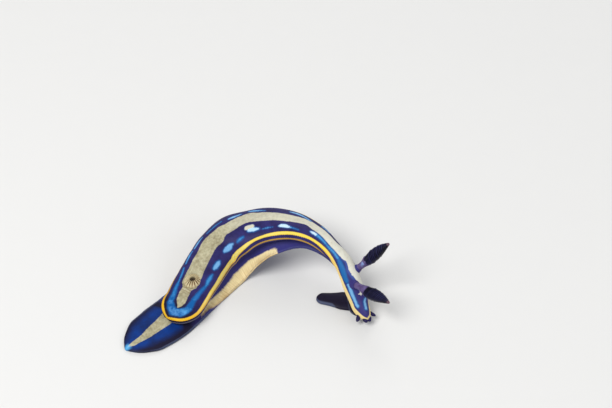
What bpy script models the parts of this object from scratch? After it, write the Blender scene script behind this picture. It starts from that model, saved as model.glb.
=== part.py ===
# Sea slug (nudibranch) at life size, arched as in the photo and standing on a flat floor.
# Sizes here are in mm and are turned into metres when a mesh is made. +Z is up, +X runs from
# the tail towards the head, and -Y is the side that the photo shows.
# The body is lofted along the midline of its sole and parted into nodes with thin cuts.

import math

import bmesh
import bpy
import numpy as np

MM = 0.001
GAP = 0.30                # space kept between neighbouring nodes
CENTRE = (14.76, 9.54)     # middle of the footprint, put over the origin

# The sole's midline, from the tail tip to the front of the foot: x, y, height, roll in degrees.
# A smooth curve is pulled towards these places. The sole is flat on the floor where height is 0.
MIDLINE = [
    (1.0, 1.3, 0.0, 0), (4.4, 4.3, 0.0, 0), (7.05, 7.1, 0.0, 0), (8.65, 9.9, 0.0, 0),
    (9.9, 12.6, 0.0, 0), (11.8, 14.3, 0.0, 0), (14.4, 15.0, 1.3, -1), (17.3, 14.5, 3.1, -6),
    (19.95, 13.2, 3.9, -14), (22.1, 11.8, 3.75, -18), (23.95, 10.35, 2.95, -16), (25.0, 8.45, 1.4, -12),
    (25.75, 7.05, 0.0, 0), (26.4, 5.4, 0.0, 0), (27.2, 3.4, 0.0, 0),
]

# Sizes of the cross-section, by distance from the tail tip along the midline.
# mantle, flank and foot are half widths; rim, crest and seam are heights over the sole.
# shift is how far the back leans to the right; below 1, dome makes it fuller than an ellipse.
SIZES = {
    "along": (0.0, 1.5, 3.0, 6.0, 7.5, 9.0, 10.5, 12.0, 13.5, 15.0,
              18.0, 21.0, 24.0, 27.0, 30.0, 33.0, 36.0, 38.0, 40.0),
    "mantle": (2.20, 2.20, 2.20, 2.25, 2.28, 2.32, 2.32, 2.34, 2.34, 2.44,
               2.77, 2.82, 2.45, 1.66, 1.11, 1.09, 0.94, 0.77, 0.75),
    "rim": (1.30, 1.40, 1.50, 1.60, 1.67, 1.75, 1.84, 1.95, 2.19, 2.45,
            2.70, 2.55, 2.10, 1.45, 0.98, 0.95, 0.98, 1.00, 1.03),
    "crest": (1.60, 1.70, 1.80, 2.00, 2.20, 2.50, 2.96, 3.50, 4.08, 4.50,
              4.70, 4.05, 3.05, 2.15, 1.92, 2.05, 2.08, 1.92, 1.65),
    "seam": (0.50, 0.62, 0.75, 0.95, 1.07, 1.20, 1.35, 1.50, 1.67, 1.85,
             2.05, 2.00, 1.60, 1.07, 0.85, 0.70, 0.62, 0.61, 0.60),
    "flank": (0.25, 0.70, 1.10, 1.60, 1.75, 1.85, 1.90, 1.95, 2.00, 2.05,
              2.10, 1.95, 1.55, 0.68, 0.47, 0.55, 0.68, 0.66, 0.65),
    "foot": (0.50, 1.80, 2.55, 2.80, 2.75, 2.72, 2.85, 3.15, 3.40, 3.50,
             3.38, 3.35, 2.80, 0.88, 0.57, 0.72, 1.15, 1.05, 1.00),
    "shift": (0.00, 0.10, 0.25, 0.50, 0.47, 0.16, -0.07, -0.14, -0.11, -0.21,
              -0.24, 0.20, 0.04, -0.36, 0.10, 0.25, 0.06, 0.06, 0.07),
    "dome": (1.70, 1.70, 1.70, 1.70, 1.65, 1.50, 1.30, 1.10, 0.90, 0.90,
             0.90, 0.90, 0.90, 0.90, 0.90, 0.90, 1.20, 1.50, 1.60),
}

# Mantle: the back, with a thick and slightly ruffled rim.
RIM_THICK = 0.45
RUFFLE_HIGH = 0.05
RUFFLE_PITCH = 3.1
MANTLE_START = 5.35
MANTLE_ROUND = 2.6
MANTLE_CUTS = (16.4, 25.4, 31.2)
HEAD_END = 38.4
HEAD_ROUND = 1.9

# Foot and tail: flat sole with a thin edge. The leaf-like tail turns into the flank.
EDGE_THICK = 0.28
LEAF_UNTIL = 5.0
FLANK_FROM = 9.0
TAIL_CUT = 6.6
FOOT_CUTS = (16.6, 26.0)
FOOT_END = 37.0
FOOT_ROUND = 1.3

# Front corners of the foot, spread on the floor: direction in degrees from +X, length, and size
# of the outline, which is given as half width by part of the length.
CORNER_AT = 34.8
CORNERS = {"right": (171.0, 4.2, 1.0), "left": (40.0, 2.0, 0.50)}
CORNER_OUTLINE = ((0.0, 1.10), (0.15, 1.22), (0.33, 1.20), (0.5, 1.02), (0.65, 0.88), (0.8, 0.80),
                  (0.9, 0.66), (0.97, 0.42), (1.0, 0.16))
CORNER_HIGH = 0.55

# Rhinophores: a low collar on the head, a stalk and a club ringed with lamellae.
# Each has a place along the body, a distance from the middle, and a lean given as parts of
# forward, right and up.
RHINOPHORES = {"right": (33.5, 0.32, (0.61, -0.11, 0.79)), "left": (32.15, -0.78, (-0.12, -0.34, 0.93))}
RHINO_LONG = 5.0
CLUB_LONG = 3.6
CLUB_RADIUS = 0.76
CLUB_FLAT = 0.95
STALK_RADIUS = 0.42
LAMELLAE = 11
LAMELLA_DEEP = 0.84       # radius between two lamellae as a part of their own
COLLAR_RADIUS = 0.47
COLLAR_HIGH = 0.18
COLLAR_SUNK = 0.45

# Gill pocket: a puckered collar round the tips of the withdrawn gills, in a socket of the back.
GILL_AT = 10.05
GILL_RADIUS = 0.92
GILL_OVAL = 0.88
GILL_FOLDS = 14
FOLD_HIGH = 0.10
GILL_TIPS = 7
GILL_TIP_RADIUS = 0.085
SOCKET_DEEP = 0.55

# Mouth end of the head: two lips beside an upright slit, and a short oral tentacle on each side.
MOUTH_SHIFT = 0.06
LIP_BACK = 1.4
LIP_OUT = 0.21
LIP_HIGH = 0.88
LIP_RADIUS = 0.28
LIP_LONG = 1.55
ORAL_BACK = 1.2
ORAL_OUT = 0.36
ORAL_LONG = 1.35
ORAL_RADIUS = 0.24
ORAL_LEAN = (0.72, 0.66, -0.16)

# Base colour and roughness of each node.
CREAM, NAVY, BLUE, INDIGO = (0.62, 0.56, 0.40), (0.05, 0.06, 0.22), (0.01, 0.09, 0.36), (0.02, 0.012, 0.06)
LOOKS = {
    "tail": (BLUE, 0.40), "foot_rear": (NAVY, 0.45), "foot_mid": (NAVY, 0.45), "foot_front": (NAVY, 0.45),
    "mantle_rear": (CREAM, 0.45), "mantle_mid": (CREAM, 0.45), "mantle_front": (CREAM, 0.45),
    "head": (NAVY, 0.42), "gills": (CREAM, 0.50),
    "rhinophore_left": (INDIGO, 0.50), "rhinophore_right": (INDIGO, 0.50),
}


def clear_scene():
    for thing in list(bpy.data.objects):
        bpy.data.objects.remove(thing, do_unlink=True)


# Midline and sizes

def trace_midline(count=700):
    """Uniform cubic B-spline through the spans of MIDLINE: length along it, rows, directions."""
    rows = np.array(MIDLINE, float)
    rows = np.vstack([2 * rows[0] - rows[1], rows, 2 * rows[-1] - rows[-2]])
    spans = len(MIDLINE) - 1
    traced = []
    for step in range(count):
        here = step / (count - 1) * spans
        first = min(int(here), spans - 1)
        t = here - first
        weights = np.array([(1 - t) ** 3, 3 * t ** 3 - 6 * t ** 2 + 4,
                            -3 * t ** 3 + 3 * t ** 2 + 3 * t + 1, t ** 3]) / 6
        traced.append(weights @ rows[first:first + 4])
    traced = np.array(traced)
    traced[:, :2] -= CENTRE
    steps = np.linalg.norm(np.diff(traced[:, :3], axis=0), axis=1)
    along = np.concatenate([[0.0], np.cumsum(steps)])
    return along, traced, np.gradient(traced[:, :3], along, axis=0)


ALONG, TRACED, AHEAD = trace_midline()


def unit(vector):
    return vector / np.linalg.norm(vector)


def frame_at(s):
    """Point of the sole's midline, with the directions forward, right and up there."""
    point = np.array([np.interp(s, ALONG, TRACED[:, i]) for i in range(3)])
    roll = math.radians(np.interp(s, ALONG, TRACED[:, 3]))
    forward = unit(np.array([np.interp(s, ALONG, AHEAD[:, i]) for i in range(3)]))
    level = unit(np.array([0.0, 0.0, 1.0]) - forward[2] * forward)
    up = level * math.cos(roll) + np.cross(forward, level) * math.sin(roll)
    return point, forward, np.cross(forward, up), up


def smooth_value(places, values, s):
    """Monotone cubic through the given places, so that no size overshoots its neighbours."""
    places, values = np.asarray(places, float), np.asarray(values, float)
    widths = np.diff(places)
    slopes = np.diff(values) / widths
    tangents = np.concatenate([[slopes[0]], np.zeros(len(slopes) - 1), [slopes[-1]]])
    for i in range(1, len(slopes)):
        before, after = slopes[i - 1], slopes[i]
        if before * after > 0:
            tangents[i] = 2 * before * after / (before + after)
    s = min(max(s, places[0]), places[-1])
    i = min(int(np.searchsorted(places, s, side="right")) - 1, len(slopes) - 1)
    t = (s - places[i]) / widths[i]
    start = (2 * t ** 3 - 3 * t ** 2 + 1) * values[i] + (t ** 3 - 2 * t ** 2 + t) * widths[i] * tangents[i]
    end = (3 * t ** 2 - 2 * t ** 3) * values[i + 1] + (t ** 3 - t ** 2) * widths[i] * tangents[i + 1]
    return start + end


def sizes_at(s):
    return {name: smooth_value(SIZES["along"], values, s) for name, values in SIZES.items()}


def round_off(distance, reach):
    """Grows from 0 to 1 over reach, as the end of an oval does."""
    part = min(max(distance / reach, 0.0), 1.0)
    return math.sqrt(max(0.0, 1 - (1 - part) ** 2.2))


# Cross-sections, as points (to the right, up)

def mirrored(half):
    """Closes a right half, given from bottom middle to top middle, with its mirror image."""
    return half + [(-across, height) for across, height in reversed(half[1:-1])]


def body_section(s):
    """Foot and what it carries: the low leaf of the tail, or the flank of the trunk."""
    size = sizes_at(s)
    end = 0.25 + 0.75 * round_off(FOOT_END - s, FOOT_ROUND)
    foot = size["foot"] * end
    flank = min(size["flank"] * end, foot - 0.08)
    top = size["seam"] - GAP / 2
    edge = min(EDGE_THICK, top * 0.6)
    rise = top - edge
    leaf = [(foot * math.cos(math.radians(angle)), edge + rise * math.sin(math.radians(angle)))
            for angle in (22, 44, 66, 84)]
    flare = foot - flank
    wall = [(flank + flare * 0.62, edge + rise * 0.16), (flank + flare * 0.22, edge + rise * 0.42),
            (flank, edge + rise * 0.72), (flank * 0.96, top)]
    trunk = min(max((s - LEAF_UNTIL) / (FLANK_FROM - LEAF_UNTIL), 0.0), 1.0)
    side = [(trunk * w[0] + (1 - trunk) * v[0], trunk * w[1] + (1 - trunk) * v[1])
            for v, w in zip(leaf, wall)]
    sole = [(0, 0), (foot * 0.6, 0), (foot, 0), (foot * 1.01, edge * 0.55), (foot * 0.985, edge)]
    lean = size["shift"] / rise
    return [(across + lean * max(0.0, height - edge), height)
            for across, height in mirrored(sole + side + [(0, top)])]


def mantle_section(s):
    """Back: a dome down to the rim, and an underside that rises inwards from it."""
    size = sizes_at(s)
    end = max(round_off(s - MANTLE_START, MANTLE_ROUND) * round_off(HEAD_END - s, HEAD_ROUND), 0.22)
    wide = size["mantle"] * end
    rim = size["rim"] + RUFFLE_HIGH * math.sin(2 * math.pi * s / RUFFLE_PITCH)
    crest = rim + (size["crest"] - size["rim"]) * (0.35 + 0.65 * end)
    under = min(size["seam"] + GAP / 2, crest - 0.4)
    lip = rim - RIM_THICK
    inner = min(size["flank"] + GAP, wide * 0.72)
    low = [(0, under), (inner * 0.6, under), (inner, max(under, lip)),
           (wide * 0.9, lip), (wide, lip + 0.12), (wide * 1.03, rim - 0.12)]
    dome = []
    for angle in (15, 30, 45, 60, 75):
        turn = math.radians(angle)
        dome.append((wide * math.cos(turn), rim + (crest - rim) * math.sin(turn) ** size["dome"]))
    return [(across + size["shift"], height) for across, height in mirrored(low + dome + [(0, crest)])]


def placed(s, section):
    """The section's points in space, square to the midline at s."""
    point, _, right, up = frame_at(s)
    return [point + right * across + up * height for across, height in section]


def back_point(s, out):
    """A point on the dome of the back, and the direction that leaves it."""
    size = sizes_at(s)
    point, _, right, up = frame_at(s)
    angle = math.acos(out / size["mantle"])
    dome, power = size["crest"] - size["rim"], size["dome"]
    slope = dome / size["mantle"] * power * math.cos(angle) * math.sin(angle) ** (power - 2)
    surface = point + right * (out + size["shift"]) + up * (size["rim"] + dome * math.sin(angle) ** power)
    return surface, unit(up + right * slope)


# Meshes

def mesh_object(name, verts, faces):
    """Closed triangle mesh in metres, with its faces pointing out."""
    mesh = bpy.data.meshes.new(name)
    mesh.from_pydata([tuple(np.asarray(vert) * MM) for vert in verts], [], faces)
    work = bmesh.new()
    work.from_mesh(mesh)
    bmesh.ops.triangulate(work, faces=work.faces[:], quad_method="SHORT_EDGE")
    bmesh.ops.recalc_face_normals(work, faces=work.faces[:])
    work.to_mesh(mesh)
    work.free()
    made = bpy.data.objects.new(name, mesh)
    bpy.context.scene.collection.objects.link(made)
    return made


def loft(name, rings):
    """Skin over rings of the same count, with flat ends."""
    verts = [point for ring in rings for point in ring]
    count, last = len(rings[0]), len(rings) - 1
    faces = [tuple(reversed(range(count))), tuple(last * count + i for i in range(count))]
    for row in range(last):
        for i in range(count):
            a, b = row * count + i, row * count + (i + 1) % count
            faces.append((a, b, b + count, a + count))
    return mesh_object(name, verts, faces)


def tube(name, stations, sides, flat=1.0):
    """Round or oval tube through stations of (centre, axis, radius), all with one side direction."""
    helper = unit(np.cross(stations[0][1], (0.31, 0.62, 0.72)))
    rings = []
    for centre, axis, radius in stations:
        across = unit(helper - axis * (helper @ axis))
        other = np.cross(axis, across)
        turns = [2 * math.pi * k / sides for k in range(sides)]
        rings.append([centre + radius * (across * math.cos(a) + other * flat * math.sin(a)) for a in turns])
    return loft(name, rings)


def spread(start, stop, pitch, crowd=""):
    """Stations from start to stop about pitch apart, crowded towards the named end."""
    steps = np.linspace(0, 1, max(3, round((stop - start) / pitch)) + 1)
    if crowd == "start":
        steps = 1 - np.cos(steps * math.pi / 2)
    elif crowd == "stop":
        steps = np.sin(steps * math.pi / 2)
    return start + (stop - start) * steps


def evaluated(made):
    """The object's mesh as its modifiers leave it; the modifiers are then removed."""
    mesh = bpy.data.meshes.new_from_object(made.evaluated_get(bpy.context.evaluated_depsgraph_get()))
    made.modifiers.clear()
    made.data = mesh
    keep_largest(made)


def unite(name, pieces):
    """One Boolean union of closed pieces."""
    base, rest = pieces[0], pieces[1:]
    gathered = bpy.data.collections.new(name + "_pieces")
    for piece in rest:
        gathered.objects.link(piece)
    step = base.modifiers.new("join", "BOOLEAN")
    step.operation = "UNION"
    step.operand_type = "COLLECTION"
    step.collection = gathered
    evaluated(base)
    for piece in rest:
        bpy.data.objects.remove(piece, do_unlink=True)
    bpy.data.collections.remove(gathered)
    base.name = name
    return base


def carve(base, cutter):
    """Takes the cutter's shape out of the base."""
    step = base.modifiers.new("cut", "BOOLEAN")
    step.operation = "DIFFERENCE"
    step.object = cutter
    evaluated(base)
    bpy.data.objects.remove(cutter, do_unlink=True)


def keep_largest(made):
    """Keeps only the largest closed surface, and clears slivers that the Boolean left."""
    work = bmesh.new()
    work.from_mesh(made.data)
    bmesh.ops.remove_doubles(work, verts=work.verts[:], dist=0.002 * MM)
    bmesh.ops.dissolve_degenerate(work, edges=work.edges[:], dist=0.002 * MM)
    bmesh.ops.triangulate(work, faces=work.faces[:])
    left, islands = set(work.verts), []
    while left:
        island, todo = set(), [left.pop()]
        while todo:
            vert = todo.pop()
            island.add(vert)
            near = {edge.other_vert(vert) for edge in vert.link_edges} & left
            left -= near
            todo.extend(near)
        islands.append(island)
    islands.sort(key=len)
    for island in islands[:-1]:
        bmesh.ops.delete(work, geom=list(island), context="VERTS")
    bmesh.ops.recalc_face_normals(work, faces=work.faces[:])
    work.to_mesh(made.data)
    work.free()


# Body

def lofted(name, section, stations):
    return loft(name, [placed(s, section(s)) for s in stations])


def make_tail():
    return lofted("tail", body_section, spread(0.0, TAIL_CUT - GAP / 2, 0.9, "start"))


def make_feet():
    first, second = FOOT_CUTS
    rear = lofted("foot_rear", body_section, spread(TAIL_CUT + GAP / 2, first - GAP / 2, 1.0))
    mid = lofted("foot_mid", body_section, spread(first + GAP / 2, second - GAP / 2, 1.0))
    front = lofted("foot_front", body_section, spread(second + GAP / 2, FOOT_END - 0.02, 0.9, "stop"))
    return rear, mid, unite("foot_front", [front] + [foot_corner(side) for side in CORNERS])


def foot_corner(side):
    """Tongue-shaped front corner of the foot, flat on the floor and rounded at its end."""
    degrees, length, size = CORNERS[side]
    way = np.array([math.cos(math.radians(degrees)), math.sin(math.radians(degrees)), 0.0])
    across = np.array([-way[1], way[0], 0.0])
    root = frame_at(CORNER_AT)[0] * (1, 1, 0)
    rings = []
    for t, half_width in CORNER_OUTLINE:
        wide = half_width * size
        high = CORNER_HIGH * (1.0 - 0.35 * t) * (0.4 + 0.6 * round_off(1.02 - t, 0.4))
        half = [(0, 0), (wide, 0), (wide * 1.03, high * 0.3), (wide * 0.78, high * 0.78), (0, high)]
        middle = root + way * length * t
        rings.append([middle + across * out + np.array([0, 0, up]) for out, up in mirrored(half)])
    return loft("corner_" + side, rings)


def make_mantle():
    one, two, three = MANTLE_CUTS
    rear = lofted("mantle_rear", mantle_section, spread(MANTLE_START + 0.05, one - GAP / 2, 0.75, "start"))
    carve(rear, gill_socket())
    mid = lofted("mantle_mid", mantle_section, spread(one + GAP / 2, two - GAP / 2, 1.0))
    front = lofted("mantle_front", mantle_section, spread(two + GAP / 2, three - GAP / 2, 0.9))
    return rear, mid, front


# Gills

def gill_socket():
    """Round pocket cut into the back, a little wider than the collar that sits in it."""
    seat, away = back_point(GILL_AT, 0.0)
    radius = GILL_RADIUS + GAP
    return tube("socket", [(seat - away * SOCKET_DEEP, away, radius), (seat + away, away, radius)], 24)


def make_gills():
    seat, away = back_point(GILL_AT, 0.0)
    _, forward, right, _ = frame_at(GILL_AT)
    # Radius as a part of GILL_RADIUS, height, and how far the folds stand up there.
    profile = [(1.0, GAP - SOCKET_DEEP, 0.0), (1.0, 0.0, 0.3), (0.88, 0.16, 0.8), (0.66, 0.28, 1.0),
               (0.46, 0.20, 1.0), (0.36, 0.02, 0.3)]
    steps = GILL_FOLDS * 2
    rings = []
    for part, height, puff in profile:
        ring = []
        for k in range(steps):
            angle = 2 * math.pi * k / steps
            reach = GILL_RADIUS * part * (1.0 if k % 2 else 0.95)
            lift = height + FOLD_HIGH * puff * (k % 2)
            ring.append(seat + forward * reach * math.cos(angle) + right * reach * GILL_OVAL * math.sin(angle)
                        + away * lift)
        rings.append(ring)
    pieces = [loft("gills", rings)]
    for k in range(GILL_TIPS):
        angle = 2 * math.pi * (k + 0.5) / GILL_TIPS
        out = forward * math.cos(angle) + right * math.sin(angle)
        root = seat + out * 0.13 - away * 0.12
        top = seat + out * 0.20 + away * (0.34 + 0.05 * (k % 2))
        axis = unit(top - root)
        shape = ((0.0, 1.0), (0.6, 0.9), (1.0, 0.35))
        stations = [(root + (top - root) * t, axis, GILL_TIP_RADIUS * part) for t, part in shape]
        pieces.append(tube("gill_tip", stations, 6))
    return unite("gills", pieces)


# Head

def rhinophore_axes(side):
    """Root on the head, the direction of the collar, and the direction of stalk and club."""
    place, out, (ahead, across, rise) = RHINOPHORES[side]
    root, away = back_point(place, out)
    _, forward, right, up = frame_at(place)
    lean = unit(forward * ahead + right * across + up * rise)
    return root, unit(away + lean * 0.6), lean


def rhinophore_collar(side):
    root, low, _ = rhinophore_axes(side)
    shape = ((-COLLAR_SUNK, 1.18), (0.0, 1.08), (COLLAR_HIGH - 0.08, 0.92), (COLLAR_HIGH, 0.8))
    return tube("collar_" + side, [(root + low * h, low, COLLAR_RADIUS * part) for h, part in shape], 16)


def make_rhinophore(side):
    """Stalk that bends out of the collar, and a pointed club of stepped rings."""
    root, low, lean = rhinophore_axes(side)
    foot = root + low * (COLLAR_HIGH + GAP)
    knee = root + lean * (RHINO_LONG - CLUB_LONG)
    stations = []
    for t in (0.0, 0.33, 0.66):
        axis = unit(low * (1 - t) + lean * t)
        stations.append((foot * (1 - t) + knee * t, axis, STALK_RADIUS * (1.1 - 0.12 * t)))
    pitch = CLUB_LONG * 0.94 / LAMELLAE
    for k in range(LAMELLAE):
        height = (k + 0.5) / LAMELLAE
        swell = CLUB_RADIUS * math.sin(math.pi * (0.16 + 0.80 * height ** 0.8)) ** 0.75
        start = knee + lean * pitch * k
        stations.append((start + lean * pitch * 0.10, lean, swell * LAMELLA_DEEP))
        stations.append((start + lean * pitch * 0.70, lean, swell))
    stations.append((knee + lean * CLUB_LONG * 0.96, lean, CLUB_RADIUS * 0.24))
    stations.append((knee + lean * CLUB_LONG, lean, CLUB_RADIUS * 0.10))
    return tube("rhinophore_" + side, stations, 14, CLUB_FLAT)


def make_lip(side):
    point, forward, right, up = frame_at(HEAD_END - LIP_BACK)
    root = point + right * (side * LIP_OUT + MOUTH_SHIFT) + up * LIP_HIGH
    shape = ((0.0, 1.0), (0.70, 0.97), (0.90, 0.70), (1.0, 0.30))
    return tube("lip", [(root + forward * LIP_LONG * t, forward, LIP_RADIUS * part) for t, part in shape], 12)


def make_oral_tentacle(side):
    point, forward, right, up = frame_at(HEAD_END - ORAL_BACK)
    ahead, across, rise = ORAL_LEAN
    way = unit(forward * ahead + right * side * across + up * rise)
    root = point + right * (side * ORAL_OUT + MOUTH_SHIFT) + up * LIP_HIGH
    shape = ((0.0, 1.0), (0.5, 0.92), (0.83, 0.65), (1.0, 0.3))
    stations = [(root + way * ORAL_LONG * t, way, ORAL_RADIUS * part) for t, part in shape]
    return tube("oral_tentacle", stations, 10)


def make_head():
    front = lofted("head", mantle_section, spread(MANTLE_CUTS[2] + GAP / 2, HEAD_END - 0.03, 0.6, "stop"))
    pieces = [front, rhinophore_collar("left"), rhinophore_collar("right")]
    for side in (1, -1):
        pieces += [make_lip(side), make_oral_tentacle(side)]
    return unite("head", pieces)


def paint(node):
    """Gives the node its own material."""
    colour, roughness = LOOKS[node.name]
    material = bpy.data.materials.new(node.name)
    material.use_nodes = True
    shader = material.node_tree.nodes["Principled BSDF"]
    shader.inputs["Base Color"].default_value = (*colour, 1.0)
    shader.inputs["Roughness"].default_value = roughness
    shader.inputs["Metallic"].default_value = 0.0
    node.data.materials.clear()
    node.data.materials.append(material)


def build():
    clear_scene()
    nodes = [make_tail(), *make_feet(), *make_mantle(), make_head(), make_gills()]
    nodes += [make_rhinophore(side) for side in RHINOPHORES]
    for node in nodes:
        paint(node)


build()
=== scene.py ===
import math

import bmesh
import bpy
import numpy as np
from mathutils import Matrix, Vector

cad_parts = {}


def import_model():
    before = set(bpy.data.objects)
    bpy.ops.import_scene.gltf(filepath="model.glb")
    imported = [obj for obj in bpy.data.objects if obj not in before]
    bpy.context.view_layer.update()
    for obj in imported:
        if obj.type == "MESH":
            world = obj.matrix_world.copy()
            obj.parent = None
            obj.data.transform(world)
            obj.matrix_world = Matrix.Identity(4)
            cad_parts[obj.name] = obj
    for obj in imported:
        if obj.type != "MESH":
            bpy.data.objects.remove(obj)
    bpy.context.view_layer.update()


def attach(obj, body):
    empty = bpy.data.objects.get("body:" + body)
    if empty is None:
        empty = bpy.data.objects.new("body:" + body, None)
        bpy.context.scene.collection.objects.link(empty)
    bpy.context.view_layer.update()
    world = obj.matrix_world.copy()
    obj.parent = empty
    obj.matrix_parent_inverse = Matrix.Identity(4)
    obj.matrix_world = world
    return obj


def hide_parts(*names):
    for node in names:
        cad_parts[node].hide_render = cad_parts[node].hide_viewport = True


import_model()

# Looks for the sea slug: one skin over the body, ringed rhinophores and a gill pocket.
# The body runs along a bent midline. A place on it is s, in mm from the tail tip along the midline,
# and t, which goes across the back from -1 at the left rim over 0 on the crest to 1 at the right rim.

mm = 0.001


def srgb(red, green, blue):
    # a colour as it looks, 0 to 255, turned into the linear values that shaders use
    parts = [value / 255 for value in (red, green, blue)]
    return tuple(p / 12.92 if p <= 0.04045 else ((p + 0.055) / 1.055) ** 2.4 for p in parts) + (1.0,)


def colours(table):
    return {name: srgb(*colour) for name, colour in table.items()}


# Body: the same midline and sizes as the solids, in mm

body = {
    "centre": (14.76, 9.54),
    # x, y, height of the sole, roll in degrees
    "midline": [
        (1.0, 1.3, 0.0, 0), (4.4, 4.3, 0.0, 0), (7.05, 7.1, 0.0, 0), (8.65, 9.9, 0.0, 0),
        (9.9, 12.6, 0.0, 0), (11.8, 14.3, 0.0, 0), (14.4, 15.0, 1.3, -1), (17.3, 14.5, 3.1, -6),
        (19.95, 13.2, 3.9, -14), (22.1, 11.8, 3.75, -18), (23.95, 10.35, 2.95, -16), (25.0, 8.45, 1.4, -12),
        (25.75, 7.05, 0.0, 0), (26.4, 5.4, 0.0, 0), (27.2, 3.4, 0.0, 0),
    ],
    # mantle, flank and foot are half widths, shift is the back's lean to the right, dome its fullness
    "along": (0.0, 1.5, 3.0, 6.0, 7.5, 9.0, 10.5, 12.0, 13.5, 15.0,
              18.0, 21.0, 24.0, 27.0, 30.0, 33.0, 36.0, 38.0, 40.0),
    "mantle": (2.20, 2.20, 2.20, 2.25, 2.28, 2.32, 2.32, 2.34, 2.34, 2.44,
               2.77, 2.82, 2.45, 1.66, 1.11, 1.09, 0.94, 0.77, 0.75),
    "rim": (1.30, 1.40, 1.50, 1.60, 1.67, 1.75, 1.84, 1.95, 2.19, 2.45,
            2.70, 2.55, 2.10, 1.45, 0.98, 0.95, 0.98, 1.00, 1.03),
    "crest": (1.60, 1.70, 1.80, 2.00, 2.20, 2.50, 2.96, 3.50, 4.08, 4.50,
              4.70, 4.05, 3.05, 2.15, 1.92, 2.05, 2.08, 1.92, 1.65),
    "seam": (0.50, 0.62, 0.75, 0.95, 1.07, 1.20, 1.35, 1.50, 1.67, 1.85,
             2.05, 2.00, 1.60, 1.07, 0.85, 0.70, 0.62, 0.61, 0.60),
    "flank": (0.25, 0.70, 1.10, 1.60, 1.75, 1.85, 1.90, 1.95, 2.00, 2.05,
              2.10, 1.95, 1.55, 0.68, 0.47, 0.55, 0.68, 0.66, 0.65),
    "foot": (0.50, 1.80, 2.55, 2.80, 2.75, 2.72, 2.85, 3.15, 3.40, 3.50,
             3.38, 3.35, 2.80, 0.88, 0.57, 0.72, 1.15, 1.05, 1.00),
    "shift": (0.00, 0.10, 0.25, 0.50, 0.47, 0.16, -0.07, -0.14, -0.11, -0.21,
              -0.24, 0.20, 0.04, -0.36, 0.10, 0.25, 0.06, 0.06, 0.07),
    "dome": (1.70, 1.70, 1.70, 1.70, 1.65, 1.50, 1.30, 1.10, 0.90, 0.90,
             0.90, 0.90, 0.90, 0.90, 0.90, 0.90, 1.20, 1.50, 1.60),
    "mantleStart": 5.35, "mantleRound": 2.6, "headEnd": 38.4, "headRound": 1.9,
    "footEnd": 37.0, "footRound": 1.3, "tailRound": 0.9, "edgeThick": 0.28, "samples": 1400,
}


def splineWeights(t):
    # shares of the four points round a place on a uniform cubic B-spline
    shares = ((1 - t) ** 3, 3 * t ** 3 - 6 * t ** 2 + 4, -3 * t ** 3 + 3 * t ** 2 + 3 * t + 1, t ** 3)
    return [share / 6 for share in shares]


def traceMidline():
    # lengths along the midline, its rows there and its direction
    rows = np.array(body["midline"], float)
    rows = np.vstack([2 * rows[0] - rows[1], rows, 2 * rows[-1] - rows[-2]])
    spans = len(rows) - 3
    here = np.linspace(0, spans, body["samples"])
    first = np.minimum(here.astype(int), spans - 1)
    traced = sum(share[:, None] * rows[first + k] for k, share in enumerate(splineWeights(here - first)))
    traced[:, :2] -= body["centre"]
    steps = np.linalg.norm(np.diff(traced[:, :3], axis=0), axis=1)
    along = np.concatenate([[0.0], np.cumsum(steps)])
    return along, traced, np.gradient(traced[:, :3], along, axis=0)


midAlong, midRows, midAhead = traceMidline()


def unit(vectors):
    return vectors / np.linalg.norm(vectors, axis=-1, keepdims=True)


def frameAt(s):
    # point of the sole's midline and the directions forward, right and up, for one s or an array of them
    s = np.asarray(s, float)
    point = np.stack([np.interp(s, midAlong, midRows[:, i]) for i in range(3)], axis=-1)
    forward = unit(np.stack([np.interp(s, midAlong, midAhead[:, i]) for i in range(3)], axis=-1))
    roll = np.radians(np.interp(s, midAlong, midRows[:, 3]))[..., None]
    level = unit(np.array([0.0, 0.0, 1.0]) - forward[..., 2:] * forward)
    up = level * np.cos(roll) + np.cross(forward, level) * np.sin(roll)
    return point, forward, np.cross(forward, up), up


def smoothValue(places, values, s):
    # monotone cubic through the places
    places, values = np.asarray(places, float), np.asarray(values, float)
    widths = np.diff(places)
    slopes = np.diff(values) / widths
    tangents = np.concatenate([[slopes[0]], np.zeros(len(slopes) - 1), [slopes[-1]]])
    for i in range(1, len(slopes)):
        if slopes[i - 1] * slopes[i] > 0:
            tangents[i] = 2 * slopes[i - 1] * slopes[i] / (slopes[i - 1] + slopes[i])
    s = np.clip(s, places[0], places[-1])
    i = np.clip(np.searchsorted(places, s, side="right") - 1, 0, len(slopes) - 1)
    t = (s - places[i]) / widths[i]
    start = (2 * t ** 3 - 3 * t ** 2 + 1) * values[i] + (t ** 3 - 2 * t ** 2 + t) * widths[i] * tangents[i]
    return start + (3 * t ** 2 - 2 * t ** 3) * values[i + 1] + (t ** 3 - t ** 2) * widths[i] * tangents[i + 1]


def byTable(table, s):
    # smooth value from (s, value) rows
    return smoothValue(*zip(*table), s)


def bodySize(name, s):
    return smoothValue(body["along"], body[name], s)


def roundOff(distance, reach):
    # from 0 at an end up to 1 at reach from it, as a rounded end does
    part = np.clip(np.asarray(distance, float) / reach, 0, 1)
    return np.sqrt(np.maximum(0, 1 - (1 - part) ** 2.2))


def ease(low, high, value):
    t = np.clip((value - low) / (high - low), 0, 1)
    return t * t * (3 - 2 * t)


def wander(s, seed, pitch):
    # slow irregular wave between about -1 and 1
    phases = np.random.default_rng(seed).uniform(0, 2 * math.pi, 4)
    ratios = (1.0, 1.73, 2.61, 4.1)
    waves = [np.sin(2 * math.pi * s * ratio / pitch + phase) / ratio for ratio, phase in zip(ratios, phases)]
    return sum(waves) / 1.9


# Skin: closed shells, each a grid of rings along the body with fields that the colours follow.
# Most fields are depths in mm inside a marking, and outside is far from all of them.

outside = -5.0
fieldNames = ("along", "around", "rimDepth", "cream", "blue", "pale", "yellow", "gold", "flank", "tailBlue",
              "tailCream", "sole", "purple", "margin", "glow")


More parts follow.
